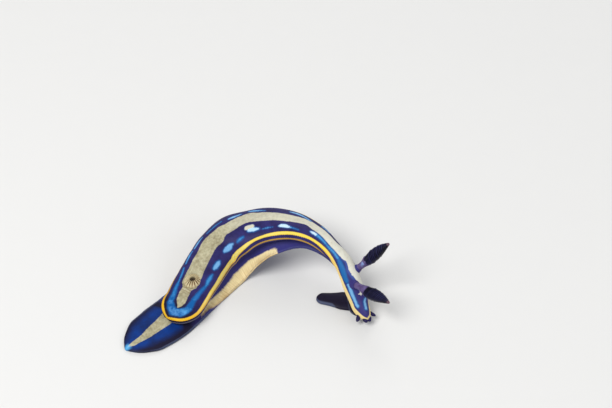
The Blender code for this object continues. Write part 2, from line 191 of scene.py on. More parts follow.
def emptyFields(shape):
    zeroes = ("along", "around", "pale", "sole", "purple")
    return {name: np.full(shape, 0.0 if name in zeroes else outside) for name in fieldNames}


def plainFields(points, s, purple):
    # fields of a shell without markings
    fields = emptyFields(points.shape[:2])
    fields["along"] += s
    fields["around"] += np.arange(points.shape[1]) * 0.1
    fields["purple"] += purple
    return fields


def closedSpline(control, perPoint):
    # periodic cubic B-spline through (rings, points, 2) control points
    count = control.shape[1]
    here = np.arange(count * perPoint) / perPoint
    first = here.astype(int)
    shares = splineWeights(here - first)
    return sum(share[None, :, None] * control[:, (first + k - 1) % count] for k, share in enumerate(shares))


def mirroredHalf(half):
    # half is a list of (across, height) pairs of arrays, from the bottom middle to the top middle
    whole = half + [(-across, height) for across, height in reversed(half[1:-1])]
    return np.stack([np.stack(np.broadcast_arrays(*pair), axis=-1) for pair in whole], axis=1)


def inSpace(s, section):
    point, _, right, up = frameAt(s)
    return point[:, None] + section[..., :1] * right[:, None] + section[..., 1:] * up[:, None]


def endStations(start, stop, reach, count, step):
    # stations that crowd towards both rounded ends
    cosine = 1 - np.cos(np.linspace(0.06, math.pi / 2, count))
    head, tail = start + reach * cosine, stop - reach * cosine[::-1]
    middle = np.linspace(head[-1], tail[0], max(2, round((tail[0] - head[-1]) / step)))
    return np.concatenate([head, middle[1:-1], tail])


# Mantle

mantle = {
    "step": 0.088, "endRings": 22, "endReach": 1.6, "samples": 4,
    "rimThick": ((0.0, 0.58), (24.0, 0.58), (28.0, 0.44), (31.0, 0.30), (39.0, 0.30)),
    # outline of the rim: parts of the half width, with mm above its underside and then above its widest line
    "underRim": ((0.86, 0.0), (0.97, 0.01), (1.04, 0.10)), "overRim": ((1.05, -0.16), (1.01, 0.0)),
    # the flesh between rim and foot, and the depth over which the ends are rounded from top to bottom
    "overSeam": 0.15, "thinnest": 0.4, "pastFlank": 0.3, "insideRim": 0.72, "endDepth": 0.30, "endDome": 0.35,
    # uneven width, waves of the rim, and inside the bend the edge drawn in, so that it stays smooth
    "uneven": 0.004, "ruffleHigh": 0.012, "rufflePitch": 3.1,
    "tuckAt": 16.8, "tuckReach": 0.9, "tuck": 0.05, "tuckWidth": 0.014,
    "gillAt": 10.15, "gillHollow": 0.75, "gillFloor": 0.35, "gillReach": 0.88,
}


def mantleShell():
    start, stop = body["mantleStart"], body["headEnd"]
    s = endStations(start, stop, mantle["endReach"], mantle["endRings"], mantle["step"])
    ends = roundOff(s - start, body["mantleRound"]) * roundOff(stop - s, body["headRound"])
    tuck = np.exp(-((s - mantle["tuckAt"]) / mantle["tuckReach"]) ** 2)
    uneven = 1 + mantle["uneven"] * wander(s, 3, 4.0) - mantle["tuckWidth"] * tuck
    wide = bodySize("mantle", s) * ends * uneven
    rim = bodySize("rim", s) + mantle["ruffleHigh"] * np.sin(2 * math.pi * s / mantle["rufflePitch"])
    dome = (bodySize("crest", s) - bodySize("rim", s)) * (mantle["endDome"] + (1 - mantle["endDome"]) * ends)
    crest = rim + dome
    under = np.minimum(bodySize("seam", s) + mantle["overSeam"], crest - mantle["thinnest"])
    lip = rim - byTable(mantle["rimThick"], s)
    inner = np.minimum(bodySize("flank", s) + mantle["pastFlank"], wide * mantle["insideRim"])
    half = [(0 * s, under), (inner * 0.5, under), (inner * 0.9, under * 0.8 + lip * 0.2),
            (inner, np.maximum(under, lip))]
    half += [(wide * out, lip + high) for out, high in mantle["underRim"]]
    half += [(wide * out, rim + high) for out, high in mantle["overRim"]]
    edgeAt = (len(half) - 1) * mantle["samples"]
    for angle in np.radians(np.arange(10, 90, 10)):
        half.append((wide * math.cos(angle), rim + dome * math.sin(angle) ** bodySize("dome", s)))
    half.append((0 * s, crest + 0.01))
    topAt = (len(half) - 1) * mantle["samples"]
    section = closedSpline(mirroredHalf(half), mantle["samples"])
    section[..., 0] += (bodySize("shift", s) - mantle["tuck"] * tuck)[:, None]
    capped = roundOff(np.minimum(s - start, stop - s), mantle["endDepth"])[:, None]
    middle = ((lip + rim) / 2)[:, None]
    section[..., 1] = middle + (section[..., 1] - middle) * capped
    points = inSpace(s, section)

    # arc length from the crest, with the right side positive, and t
    steps = np.linalg.norm(np.diff(points, axis=1, append=points[:, :1]), axis=2)
    arc = np.concatenate([np.zeros((len(s), 1)), np.cumsum(steps[:, :-1], axis=1)], axis=1)
    fromTop = arc[:, topAt:topAt + 1] - arc
    reach = fromTop[:, edgeAt:edgeAt + 1]
    back = np.abs(np.arange(section.shape[1]) - topAt)[None, :]
    grid = {"s": s, "points": points, "t": fromTop / np.maximum(reach, 0.05), "reach": reach,
            "edges": (edgeAt, 2 * topAt - edgeAt), "onBack": back <= topAt - edgeAt}

    # the gill pocket's floor lies under the collar
    gap = np.linalg.norm(points - gridPoint(grid, mantle["gillAt"], 0.0), axis=2)
    sunk = (1 - ease(mantle["gillFloor"], mantle["gillReach"], gap)) * (back < topAt - edgeAt)
    grid["points"] = points - frameAt(mantle["gillAt"])[3] * (mantle["gillHollow"] * sunk)[..., None]
    return grid


def gridPoint(grid, s, t):
    # a point of the mantle at s and t
    row = np.interp(s, grid["s"], np.arange(len(grid["s"])))
    low = int(row)
    columns = slice(grid["edges"][0], grid["edges"][1] + 1)
    found = []
    for i in (low, min(low + 1, len(grid["s"]) - 1)):
        order = grid["t"][i, columns][::-1]
        found.append(np.array([np.interp(t, order, grid["points"][i, columns][::-1, k]) for k in range(3)]))
    return found[0] * (1 - (row - low)) + found[1] * (row - low)


# cream band: t of its right and left edge by s, the patch round the gills and the spot on the head
creamBand = {
    "right": ((6.7, 0.10), (7.1, 0.19), (7.5, 0.20), (8.4, 0.15), (9.0, 0.14), (9.6, 0.29), (10.4, 0.29),
              (11.7, 0.24), (12.9, 0.21), (14.0, 0.19), (14.9, 0.23), (17.7, 0.24), (19.1, 0.25),
              (20.0, 0.22), (20.6, 0.15), (21.3, 0.13), (22.1, 0.16), (23.0, 0.20), (24.6, 0.18),
              (25.6, 0.12), (26.2, 0.06), (27.0, 0.20), (27.9, 0.29), (28.9, 0.40), (29.9, 0.42),
              (30.7, 0.36), (31.2, 0.20), (31.9, 0.30), (32.6, 0.18), (33.2, 0.00), (33.8, -0.35),
              (34.4, -0.60)),
    "left": ((6.7, 0.09), (7.0, -0.05), (7.4, -0.24), (8.2, -0.33), (9.0, -0.29), (9.6, -0.42),
             (10.3, -0.40), (11.0, -0.38), (12.2, -0.35), (13.0, -0.32), (14.3, -0.34), (15.7, -0.28),
             (17.5, -0.20), (18.7, -0.13), (20.3, -0.28), (21.2, -0.37), (22.2, -0.29), (24.3, -0.30),
             (25.3, -0.34), (26.4, -0.40), (27.4, -0.33), (28.2, -0.30), (29.3, -0.24), (30.1, -0.42),
             (30.9, -0.51), (31.7, -0.53), (33.1, -0.59), (34.4, -0.62)),
    # s, t and radius in mm
    "patches": ((mantle["gillAt"], -0.04, 0.91), (34.55, 0.02, 0.27)),
}

# yellow band: how far in and how far out it reaches from the rim's upper edge, in mm by s,
# and how wide it is on the left as a part of the right
yellowBand = {
    "in": ((5.3, 0.29), (6.9, 0.29), (7.7, 0.30), (9.0, 0.34), (10.9, 0.39), (11.9, 0.50), (12.9, 0.60),
           (15.0, 0.60), (17.0, 0.57), (18.7, 0.55), (20.6, 0.55), (21.8, 0.49), (22.9, 0.46),
           (23.8, 0.51), (24.7, 0.55), (26.3, 0.51), (27.8, 0.45), (29.3, 0.40), (30.0, 0.30),
           (30.8, 0.16), (31.7, 0.06), (32.5, 0.14), (33.3, 0.24), (35.0, 0.36), (36.8, 0.42), (38.4, 0.30)),
    "out": ((5.3, 0.00), (7.5, 0.03), (9.0, 0.12), (11.5, 0.12), (16.0, 0.08), (19.0, 0.00), (22.0, -0.17),
            (27.0, -0.20), (29.3, -0.05), (30.8, 0.26), (34.0, 0.30), (36.5, 0.22)),
    "left": ((6.0, 1.1), (8.0, 0.75), (11.0, 0.50), (14.0, 1.0), (30.0, 1.0), (34.0, 1.3)),
}
# thin line under the yellow, low on the rim: half width, and depth below the rim's upper edge
goldLine = {
    "half": ((5.3, 0.08), (8.0, 0.10), (11.0, 0.16), (15.0, 0.15), (18.0, 0.09), (28.0, 0.08), (30.5, -0.10)),
    "down": ((8.0, 0.34), (12.0, 0.38), (18.0, 0.36), (24.0, 0.27)),
}

# light blue marks: strokes of (s, t, half width in mm), how white they are, and how far their glow reaches
blueMarks = [
    ([(28.9, 0.54, 0.06), (29.3, 0.56, 0.10), (29.7, 0.53, 0.12), (30.4, 0.58, 0.13)], 0.05, 0.12),
    ([(30.7, 0.62, 0.17), (31.4, 0.68, 0.24), (32.2, 0.70, 0.24), (32.8, 0.66, 0.19)], -0.40, 0.12),
    ([(33.2, 0.63, 0.15), (33.6, 0.60, 0.17), (34.3, 0.59, 0.18), (35.1, 0.55, 0.18),
      (36.7, 0.45, 0.16)], 0.30, 0.12),
    ([(27.0, 0.40, 0.08), (27.25, 0.41, 0.19), (27.55, 0.43, 0.17)], 0.95, 0.14),
    ([(27.6, 0.43, 0.16), (28.0, 0.46, 0.13), (28.7, 0.52, 0.07)], 0.10, 0.16),
    ([(24.4, 0.51, 0.10), (24.6, 0.48, 0.22), (24.9, 0.48, 0.23), (25.2, 0.51, 0.13)], 0.95, 0.10),
    ([(25.2, 0.51, 0.11), (25.6, 0.55, 0.06), (26.0, 0.58, 0.03)], 0.05, 0.12),
    ([(23.1, 0.59, 0.03), (23.5, 0.57, 0.07), (23.9, 0.55, 0.03)], 0.15, 0.10),
    ([(21.4, 0.35, 0.28), (21.9, 0.37, 0.30)], 1.25, 0.05),
    ([(21.7, 0.48, 0.20), (22.2, 0.52, 0.26), (22.6, 0.54, 0.13)], 0.72, 0.14),
    ([(19.9, 0.65, 0.04), (20.4, 0.62, 0.11), (20.9, 0.61, 0.06)], 0.00, 0.16),
    ([(14.7, 0.48, 0.14), (15.3, 0.49, 0.28), (16.6, 0.53, 0.30), (17.8, 0.57, 0.25),
      (18.8, 0.61, 0.09)], 0.30, 0.10),
    ([(12.3, 0.51, 0.10), (12.6, 0.52, 0.22), (13.0, 0.52, 0.22), (13.3, 0.52, 0.08)], 0.28, 0.14),
    ([(11.7, 0.57, 0.06), (11.4, 0.57, 0.15), (10.8, 0.58, 0.16), (10.4, 0.60, 0.10)], -0.05, 0.12),
    ([(10.2, 0.59, 0.09), (9.6, 0.54, 0.13), (9.0, 0.50, 0.19), (8.4, 0.46, 0.18)], -0.36, 0.14),
    ([(8.4, 0.46, 0.18), (7.9, 0.47, 0.24), (7.5, 0.50, 0.27)], -0.60, 0.12),
    ([(7.4, 0.52, 0.28), (7.0, 0.52, 0.34), (6.45, 0.42, 0.42), (6.1, 0.14, 0.37)], -0.05, 0.12),
    ([(6.1, 0.10, 0.36), (6.32, -0.22, 0.31), (6.8, -0.45, 0.25)], -0.18, 0.18),
    ([(6.8, -0.45, 0.24), (7.5, -0.54, 0.20), (8.4, -0.61, 0.15), (9.2, -0.61, 0.11)], -0.25, 0.16),
    ([(9.4, -0.60, 0.10), (10.2, -0.59, 0.09), (11.2, -0.62, 0.08)], -0.10, 0.10),
    ([(11.9, -0.62, 0.09), (12.7, -0.63, 0.14), (13.2, -0.59, 0.07)], 0.15, 0.12),
    ([(13.6, -0.56, 0.08), (14.2, -0.54, 0.15), (14.8, -0.51, 0.08)], 0.30, 0.12),
    ([(15.4, -0.46, 0.05), (16.8, -0.41, 0.07), (18.2, -0.34, 0.05)], 0.00, 0.10),
    ([(19.2, -0.30, 0.08), (19.8, -0.35, 0.14), (20.4, -0.42, 0.07)], 0.45, 0.12),
    ([(21.1, -0.50, 0.09), (21.7, -0.46, 0.15), (22.5, -0.41, 0.07)], 0.35, 0.12),
    ([(24.4, -0.56, 0.11), (24.9, -0.58, 0.18), (25.5, -0.55, 0.14), (26.2, -0.45, 0.06)], 0.45, 0.12),
    ([(27.3, -0.58, 0.10), (28.1, -0.56, 0.13)], 0.30, 0.12),
    ([(29.2, -0.62, 0.08), (30.6, -0.74, 0.13), (32.4, -0.78, 0.16), (33.8, -0.72, 0.15), (34.8, -0.48, 0.13),
      (35.6, -0.20, 0.12), (36.9, -0.18, 0.14), (37.6, -0.12, 0.12)], 0.35, 0.12),
]


def markField(grid):
    # for every point of the mantle: depth inside the nearest mark, its whiteness, and depth inside its glow
    points = grid["points"]
    depth, white, glow = (np.full(points.shape[:2], value) for value in (outside, 0.0, outside))
    for nodes, pale, reach in blueMarks:
        for (s1, t1, w1), (s2, t2, w2) in zip(nodes[:-1], nodes[1:]):
            for part in np.linspace(0, 1, max(3, round(abs(s2 - s1) / 0.12))):
                place = gridPoint(grid, s1 + (s2 - s1) * part, t1 + (t2 - t1) * part)
                here = w1 + (w2 - w1) * part - np.linalg.norm(points - place, axis=2)
                better = here > depth
                depth[better], white[better] = here[better], pale
                glow = np.maximum(glow, here + reach)
    return depth, white, glow


def mantleFields(grid):
    s, t, reach, points, onBack = grid["s"][:, None], grid["t"], grid["reach"], grid["points"], grid["onBack"]
    fields = emptyFields(t.shape)
    fields["along"] += s
    fields["around"] = t * reach
    # depth in from the rim's upper edge, also round the two ends
    edges = np.concatenate([points[:, edgeAt] for edgeAt in grid["edges"]])
    away = np.min([np.linalg.norm(points - edge, axis=2) for edge in edges[::2]], axis=0)
    depth = np.where(onBack, away, -np.maximum((np.abs(t) - 1) * reach, away))
    fields["rimDepth"] = depth
    right, left = byTable(creamBand["right"], s), byTable(creamBand["left"], s)
    offEnd = np.minimum(s - creamBand["right"][0][0], creamBand["right"][-1][0] - s)
    cream = np.minimum(np.minimum(right - t, t - left) * np.maximum(reach, 0.3), offEnd)
    for place, side, radius in creamBand["patches"]:
        cream = np.maximum(cream, radius - np.linalg.norm(points - gridPoint(grid, place, side), axis=2))
    blue, fields["pale"], glow = markField(grid)
    for name, depths in (("cream", cream), ("blue", blue), ("glow", glow)):
        fields[name] = np.where(onBack, depths, outside)
    wide = byTable(yellowBand["in"], s) * np.where(t < 0, byTable(yellowBand["left"], s), 1.0)
    fields["yellow"] = np.minimum(wide - depth, depth + byTable(yellowBand["out"], s))
    fields["gold"] = byTable(goldLine["half"], s) - np.abs(depth + byTable(goldLine["down"], s))
    fields["purple"] += ease(29.5, 34.5, s)
    return fields


# Foot and tail

trunk = {
    "step": 0.10, "endRings": 14, "endReach": 1.0, "samples": 3, "underSeam": 0.15, "endHigh": 0.5,
    # the top reaches up into the mantle by joinHigh mm between these two stretches
    "joinHigh": 0.42, "joinFrom": (6.3, 7.6), "joinUntil": (36.2, 37.0),
    # a leaf's section up to leafUntil, in degrees round it, and upright sides from flankFrom on, as parts of
    # the foot's flare and of the height over its edge
    "leafUntil": 5.0, "flankFrom": 9.0, "leaf": (14, 28, 44, 62, 78),
    "side": ((0.80, 0.07), (0.50, 0.20), (0.18, 0.44), (0.0, 0.76)),
}

trunkMarks = {
    # cream streak on the tail, and the dark margin beside the blue: mm across by s
    "creamLeft": ((0.0, 0.6, 2.1, 3.7, 5.1, 6.0, 8.0), (0.05, -0.10, -0.29, -0.74, -1.08, -1.28, -1.5)),
    "creamRight": ((0.0, 0.6, 0.9, 2.7, 4.2, 5.4, 8.0), (0.05, 0.22, 0.36, 0.50, 0.45, 0.43, 0.6)),
    "dark": ((0.0, 1.1, 3.0, 5.0, 9.0), (0.18, 0.58, 0.78, 0.76, 0.7)),
    # height of the upper and lower edge of the cream on the flank
    "flankTop": ((7.9, 0.10), (8.6, 0.55), (9.2, 0.73), (10.0, 0.64), (11.6, 0.58), (13.8, 0.65), (15.2, 0.80),
                 (18.9, 0.87), (20.7, 0.74), (22.4, 0.60), (23.7, 0.50), (24.2, 0.30), (24.5, -0.10)),
    "flankLow": ((7.9, 0.40), (9.5, 0.34), (10.8, 0.14), (13.0, 0.04), (24.0, 0.04), (26.5, 0.2)),
    "solePart": 0.97, "edgeLine": 0.10,
}


def trunkShell():
    stop = body["footEnd"]
    s = endStations(0.0, stop, trunk["endReach"], trunk["endRings"], trunk["step"])
    ends = roundOff(s, body["tailRound"]) * roundOff(stop - s, body["footRound"])
    foot = bodySize("foot", s) * ends
    flank = np.minimum(bodySize("flank", s) * ends, foot * 0.96)
    wall = (bodySize("seam", s) - trunk["underSeam"]) * roundOff(np.minimum(s, stop - s), trunk["endHigh"])
    top = wall + trunk["joinHigh"] * ease(*trunk["joinFrom"], s) * (1 - ease(*trunk["joinUntil"], s))
    edge = np.minimum(body["edgeThick"], wall * 0.6)
    rise = wall - edge
    wave = 0.5 + 0.5 * wander(s, 8, 2.6)
    flare = foot - flank
    blend = ease(trunk["leafUntil"], trunk["flankFrom"], s)
    leaf = [(foot * math.cos(turn), edge + rise * math.sin(turn)) for turn in map(math.radians, trunk["leaf"])]
    side = [(flank + flare * out, edge + rise * high) for out, high in trunk["side"]] + [(flank * 0.96, wall)]
    mixed = [(blend * w[0] + (1 - blend) * v[0], blend * w[1] + (1 - blend) * v[1]) for v, w in zip(leaf, side)]
    half = [(0 * s, 0 * s), (foot * 0.5, 0 * s), (foot * 0.88, 0 * s), (foot * 1.0, 0 * s),
            (foot * 1.03, edge * (0.35 + 0.25 * wave)), (foot * 1.0, edge * (0.85 + 0.3 * wave))]
    half += mixed + [(flank * 0.6 * blend + mixed[-1][0] * 0.45 * (1 - blend), top), (0 * s, top)]
    section = closedSpline(mirroredHalf(half), trunk["samples"])
    section[..., 1] = np.maximum(section[..., 1], 0)
    leant = section.copy()
    leant[..., 0] += (bodySize("shift", s) / rise)[:, None] * np.maximum(0, section[..., 1] - edge[:, None])
    points = inSpace(s, leant)
    points[..., 2] = np.maximum(points[..., 2], 0)
    return {"s": s, "points": points, "section": section, "foot": foot}


def trunkFields(grid):
    s, foot = grid["s"][:, None], grid["foot"][:, None]
    across, height = grid["section"][..., 0], grid["section"][..., 1]
    out = np.abs(across)
    fields = emptyFields(across.shape)
    fields["along"] += s
    fields["around"] = across + np.sign(across) * height
    fields["sole"] = np.where(height < 0.02, 1.0, 0.0) * (out < foot * trunkMarks["solePart"])
    upper = (height > 0.02) | (out > foot * trunkMarks["solePart"])
    # tail: cream along the middle, widening to the mantle, blue beside it, dark towards the edge
    left, right, margin = (np.interp(s, *trunkMarks[name]) for name in ("creamLeft", "creamRight", "dark"))
    margin = margin * (1 + 0.32 * ease(1.0, 3.0, s) * np.tanh(across * 2))
    # flank: cream from the foot's edge up to a height that shrinks to nothing at both ends
    tall, low = byTable(trunkMarks["flankTop"], s), byTable(trunkMarks["flankLow"], s)
    # grey line along the thin edge of the tail and of the foot's rear
    line = trunkMarks["edgeLine"] * ease(1.5, 3.5, s) * (1 - ease(8.0, 10.0, s))
    for name, depths in (("tailCream", np.minimum(right - across, across - left)),
                         ("tailBlue", (foot - margin - out) - ease(5.8, 7.5, s) * 3),
                         ("flank", np.minimum(tall - height, height - low)),
                         ("margin", line - np.abs(foot * 0.995 - out))):
        fields[name] = np.where(upper, depths, outside)
    fields["pale"] = np.clip((height - low) / np.maximum(tall - low, 0.1), 0, 1)
    # below 0 the purple field gives the near-black front colour: the head end's navy darkened as painted shade
    fields["purple"] -= ease(30.5, 33.0, s)
    return fields


# Head

head = {
    # place along the body, distance from the middle, lean as parts of forward, right and up
    "rhino": {"right": (33.5, 0.32, (0.61, -0.11, 0.79)), "left": (32.15, -0.78, (-0.12, -0.34, 0.93))},
    # collar: part of the radius and mm up, the later ones above collarHigh
    "collarRadius": 0.47, "collarHigh": 0.18, "collarSides": 40,
    "collarFoot": ((1.30, -0.46), (1.24, -0.32), (1.17, -0.18), (1.08, -0.05), (1.00, 0.05)),
    "collarTop": ((0.95, -0.03), (0.91, 0.04), (0.86, 0.08), (0.80, 0.09), (0.72, 0.06), (0.60, -0.04)),
    # lips and oral tentacles: mm behind the head's end and out from the middle, lean as parts of
    # forward, outward and up
    "lip": {"back": 1.4, "out": 0.21, "radius": 0.2744, "long": 1.55, "sides": 28, "flat": 1.0,
            "lean": (1.0, 0.0, 0.0)},
    "oral": {"back": 1.2, "out": 0.36, "radius": 0.2522, "long": 1.10, "sides": 24, "flat": 0.85,
             "lean": (0.72, 0.66, -0.16)},
    "mouthShift": 0.06, "mouthHigh": 0.88,
}


def pipe(stations, sides, flat=1.0):
    # rings round (centre, axis, radius) stations, in mm
    helper = unit(np.cross(stations[0][1], (0.31, 0.62, 0.72)))
    turns = np.linspace(0, 2 * math.pi, sides, endpoint=False)[:, None]
    rings = []
    for centre, axis, radius in stations:
        across = unit(helper - axis * (helper @ axis))
        other = np.cross(axis, across)
        rings.append(centre + radius * (across * np.cos(turns) + other * flat * np.sin(turns)))
    return np.array(rings)


def backPoint(s, out):
    # a point on the dome, out mm to the right, and the direction that leaves it
    names = ("mantle", "rim", "crest", "shift", "dome")
    wide, rim, crest, shift, power = (float(bodySize(name, s)) for name in names)
    point, _, right, up = frameAt(s)
    angle = math.acos(out / wide)
    slope = (crest - rim) / wide * power * math.cos(angle) * math.sin(angle) ** (power - 2)
    surface = point + right * (out + shift) + up * (rim + (crest - rim) * math.sin(angle) ** power)
    return surface, unit(up + right * slope)


def rhinoAxes(side):
    # root on the back, direction there, and the club's lean
    place, out, (ahead, across, rise) = head["rhino"][side]
    root, away = backPoint(place, out)
    _, forward, right, up = frameAt(place)
    lean = unit(forward * ahead + right * across + up * rise)
    return root, unit(away + lean * 0.6), lean


def collarShell(side):
    # low smooth mound that the stalk comes out of
    root, low, lean = rhinoAxes(side)
    profile = head["collarFoot"] + tuple((out, head["collarHigh"] + up) for out, up in head["collarTop"])
    stations = [(root + low * up, unit(low + max(up, 0) * (lean - low)), head["collarRadius"] * out)
                for out, up in profile]
    return pipe(stations, head["collarSides"])


def mouthShell(side, name):
    # a lip, straight and blunt, or an oral tentacle, which leans out and tapers
    place = head[name]
    point, forward, right, up = frameAt(body["headEnd"] - place["back"])
    root = point + right * (side * place["out"] + head["mouthShift"]) + up * head["mouthHigh"]
    ahead, across, rise = place["lean"]
    way = unit(forward * ahead + right * side * across + up * rise)
    if name == "lip":
        blunt = 0.7 + 0.3 * np.sin(np.linspace(0.15, 1, 9) * math.pi / 2)
        parts = np.concatenate([np.linspace(0, 0.7, 8), blunt])
        sizes = np.where(parts < 0.7, 1.0, np.sqrt(np.maximum(0.0, 1 - ((parts - 0.7) / 0.302) ** 2)))
    else:
        parts = np.sin(np.linspace(0, 1, 18) * math.pi / 2)
        sizes = np.sqrt(np.maximum(0.0, 1 - (np.maximum(parts - 0.35, 0) / 0.66) ** 2.2))
    stations = [(root + way * place["long"] * t, way, place["radius"] * size) for t, size in zip(parts, sizes)]
    return pipe(stations, place["sides"], place["flat"])


# front corners of the foot: direction in degrees, length and size of each
footCorner = {
    "at": 34.8, "right": (171.0, 4.2, 1.0), "left": (40.0, 2.0, 0.50), "high": 0.55, "sides": 48,
    # half width by part of the length
    "half": ((0.0, 1.10), (0.15, 1.22), (0.33, 1.20), (0.5, 1.02), (0.65, 0.88), (0.8, 0.80), (0.9, 0.74),
             (1.0, 0.68)),
    # reach of the pale line along the corner's edge, a painted highlight
    "margin": 0.24,
}


def cornerShell(side):
    # a tongue flat on the floor, with fields for a pale line along its edge, a painted highlight
    degrees, length, size = footCorner[side]
    way = np.array([math.cos(math.radians(degrees)), math.sin(math.radians(degrees)), 0.0])
    across = np.array([-way[1], way[0], 0.0])
    root = frameAt(footCorner["at"])[0] * (1, 1, 0)
    tip = 0.8 + 0.2 * np.sin(np.linspace(0.05, 1, 16) * math.pi / 2)
    parts = np.concatenate([np.linspace(0, 0.8, 40), tip])
    turns = np.linspace(0, 2 * math.pi, footCorner["sides"], endpoint=False)
    thin = np.sign(np.sin(turns)) * np.abs(np.sin(turns)) ** 0.8
    rings, margins = [], []
    for t in parts:
        end = float(roundOff(1.004 - t, 0.16))
        wide = float(byTable(footCorner["half"], t)) * size * end
        high = footCorner["high"] * (1.0 - 0.4 * t) * (0.3 + 0.7 * end)
        heights = high * np.clip(0.40 - 0.62 * np.cos(turns), 0, 1) ** 1.3
        middle = root + way * length * t
        rings.append(middle + across * (wide * thin * 1.02)[:, None] + np.array([0, 0, 1.0]) * heights[:, None])
        # the pale line, a painted highlight, is on the outer part of the lower side only
        margins.append(wide * (1 - thin) + 2.5 * max(0.55 - t, 0.0))
    points = np.array(rings)
    # purple at -0.95 gives the near-black front colour: the corner's navy darkened as painted shade
    fields = plainFields(points, footCorner["at"], -0.95)
    fields["margin"] = footCorner["margin"] - np.array(margins)
    return points, fields


def ringFaces(rows, columns):
    # quads between rings of points
    pairs = [(k, (k + 1) % columns) for k in range(columns)]
    starts = range(0, (rows - 1) * columns, columns)
    return [(at + a, at + b, at + b + columns, at + a + columns) for at in starts for a, b in pairs]


def setField(mesh, name, values):
    layer = mesh.attributes.new(name, "FLOAT", "POINT")
    layer.data.foreach_set("value", np.array(values, np.float32))


def gridMesh(name, shells):
    # one mesh from closed shells, with their fields as attributes
    verts, faces, values = [], [], {key: [] for key in fieldNames}
    for points, fields in shells:
        base, (rows, columns) = len(verts), points.shape[:2]
        verts.extend(points.reshape(-1, 3) * mm)
        faces.extend(tuple(base + k for k in face) for face in ringFaces(rows, columns))
        # a point in the middle closes each end
        for row, flip in ((0, True), (rows - 1, False)):
            pole, here = len(verts), base + row * columns
            verts.append(points[row].mean(axis=0) * mm)
            for k in range(columns):
                pair = (here + k, here + (k + 1) % columns)
                faces.append((pole, *reversed(pair)) if flip else (pole, *pair))
        for key in fieldNames:
            values[key].extend(fields[key].ravel())
            values[key].extend([fields[key][0].mean(), fields[key][-1].mean()])
    mesh = bpy.data.meshes.new(name)
    mesh.from_pydata([tuple(vert) for vert in verts], [], faces)
    for key in fieldNames:
        setField(mesh, key, values[key])
    work = bmesh.new()
    work.from_mesh(mesh)
    bmesh.ops.recalc_face_normals(work, faces=work.faces[:])
    work.to_mesh(mesh)
    work.free()
    mesh.shade_smooth()
    return inScene(name, mesh)


def inScene(name, data):
    # a new object in the scene
    piece = bpy.data.objects.new(name, data)
    bpy.context.scene.collection.objects.link(piece)
    return piece


def makeSkin():
    print("skin: mantle")
    back = mantleShell()
    shells = [(back["points"], mantleFields(back))]
    print("skin: foot and tail")
    below = trunkShell()
    shells.append((below["points"], trunkFields(below)))
    print("skin: head")
    for side in ("left", "right"):
        points = collarShell(side)
        shells.append((points, plainFields(points, head["rhino"][side][0], 1)))
        shells.append(cornerShell(side))
    for side in (-1, 1):
        for name in ("lip", "oral"):
            points = mouthShell(side, name)
            # purple at -0.4: the lips and oral tentacles take part of the near-black front colour, painted
            # shade
            shells.append((points, plainFields(points, body["headEnd"], -0.4)))
    return gridMesh("skin", shells)


# Node trees

def mathMethod(operation):
    # a method that adds one Math node for a value and any others
    return lambda self, *others: self.tree.node("ShaderNodeMath", dict(enumerate((self, *others))),
                                                operation=operation)


class Signal:
    # a value in a node tree; arithmetic on it adds Math nodes
    __add__ = __radd__ = mathMethod("ADD")
    __mul__ = __rmul__ = mathMethod("MULTIPLY")
    __sub__, __truediv__, __pow__ = mathMethod("SUBTRACT"), mathMethod("DIVIDE"), mathMethod("POWER")
    sine, absolute = mathMethod("SINE"), mathMethod("ABSOLUTE")

    def __init__(self, tree, socket):
        self.tree, self.socket = tree, socket

    def __rsub__(self, other):
        return self.tree.node("ShaderNodeMath", {0: other, 1: self}, operation="SUBTRACT")

    def clamped(self):
        return self.tree.node("ShaderNodeClamp", {0: self, 1: 0.0, 2: 1.0})


class Tree:
    # makes nodes in one tree
    def __init__(self, tree):
        self.tree = tree

    def node(self, kind, sockets=None, output=0, **settings):
        # a new node; a socket is given by name or place, with the value or the signal for it
        made = self.tree.nodes.new(kind)
        for key, value in settings.items():
            setattr(made, key, value)
        for key, value in (sockets or {}).items():
            if isinstance(value, Signal):
                self.tree.links.new(value.socket, made.inputs[key])
            else:
                made.inputs[key].default_value = value
        return Signal(self, made.outputs[output]) if made.outputs else None

    def mixed(self, mask, first, second):
        # colour mix
        return self.node("ShaderNodeMix", {0: mask, 6: first, 7: second}, 2, data_type="RGBA")

    def attribute(self, name):
        return self.node("ShaderNodeAttribute", output=2, attribute_name=name)

    def noise(self, vector, scale, detail=2.0, roughness=0.5):
        sockets = {"Vector": vector, "Scale": scale, "Detail": detail, "Roughness": roughness}
        return self.node("ShaderNodeTexNoise", sockets)

    def random(self, low, high, seed):
        return self.node("FunctionNodeRandomValue", {2: low, 3: high, 8: seed}, 1, data_type="FLOAT")

    def vector(self, x, y, z):
        return self.node("ShaderNodeCombineXYZ", {0: x, 1: y, 2: z})

    def instances(self, points, shape, turn, size):
        # the shape on each point, turned by an angle round each axis and sized
        turned = self.node("FunctionNodeEulerToRotation", {0: self.vector(*turn)})
        sockets = {"Points": points, "Instance": shape, "Rotation": turned, "Scale": self.vector(*size)}
        return self.node("GeometryNodeInstanceOnPoints", sockets)

    def finish(self, colour, roughness, relief, strength, depth, fixed):
        # the shader, with a bump from the relief and the fixed values on its sockets
        bump = self.node("ShaderNodeBump", {"Strength": strength, "Distance": depth, "Height": relief})
        sockets = {"Base Color": colour, "Roughness": roughness, "Normal": bump}
        shader = self.node("ShaderNodeBsdfPrincipled", {**sockets, **fixed})
        self.node("ShaderNodeOutputMaterial", {"Surface": shader})


def edgeMask(field, soft):
    # 0 outside, 1 inside a field in mm, over a soft edge
    return (field / (2 * soft) + 0.5).clamped()


def newMaterial(name):
    # a material, its tree and the place that its noises are taken at
    material = bpy.data.materials.new(name)
    material.use_nodes = True
    material.node_tree.nodes.clear()
    tree = Tree(material.node_tree)
    return material, tree, tree.node("ShaderNodeTexCoord", output=3)


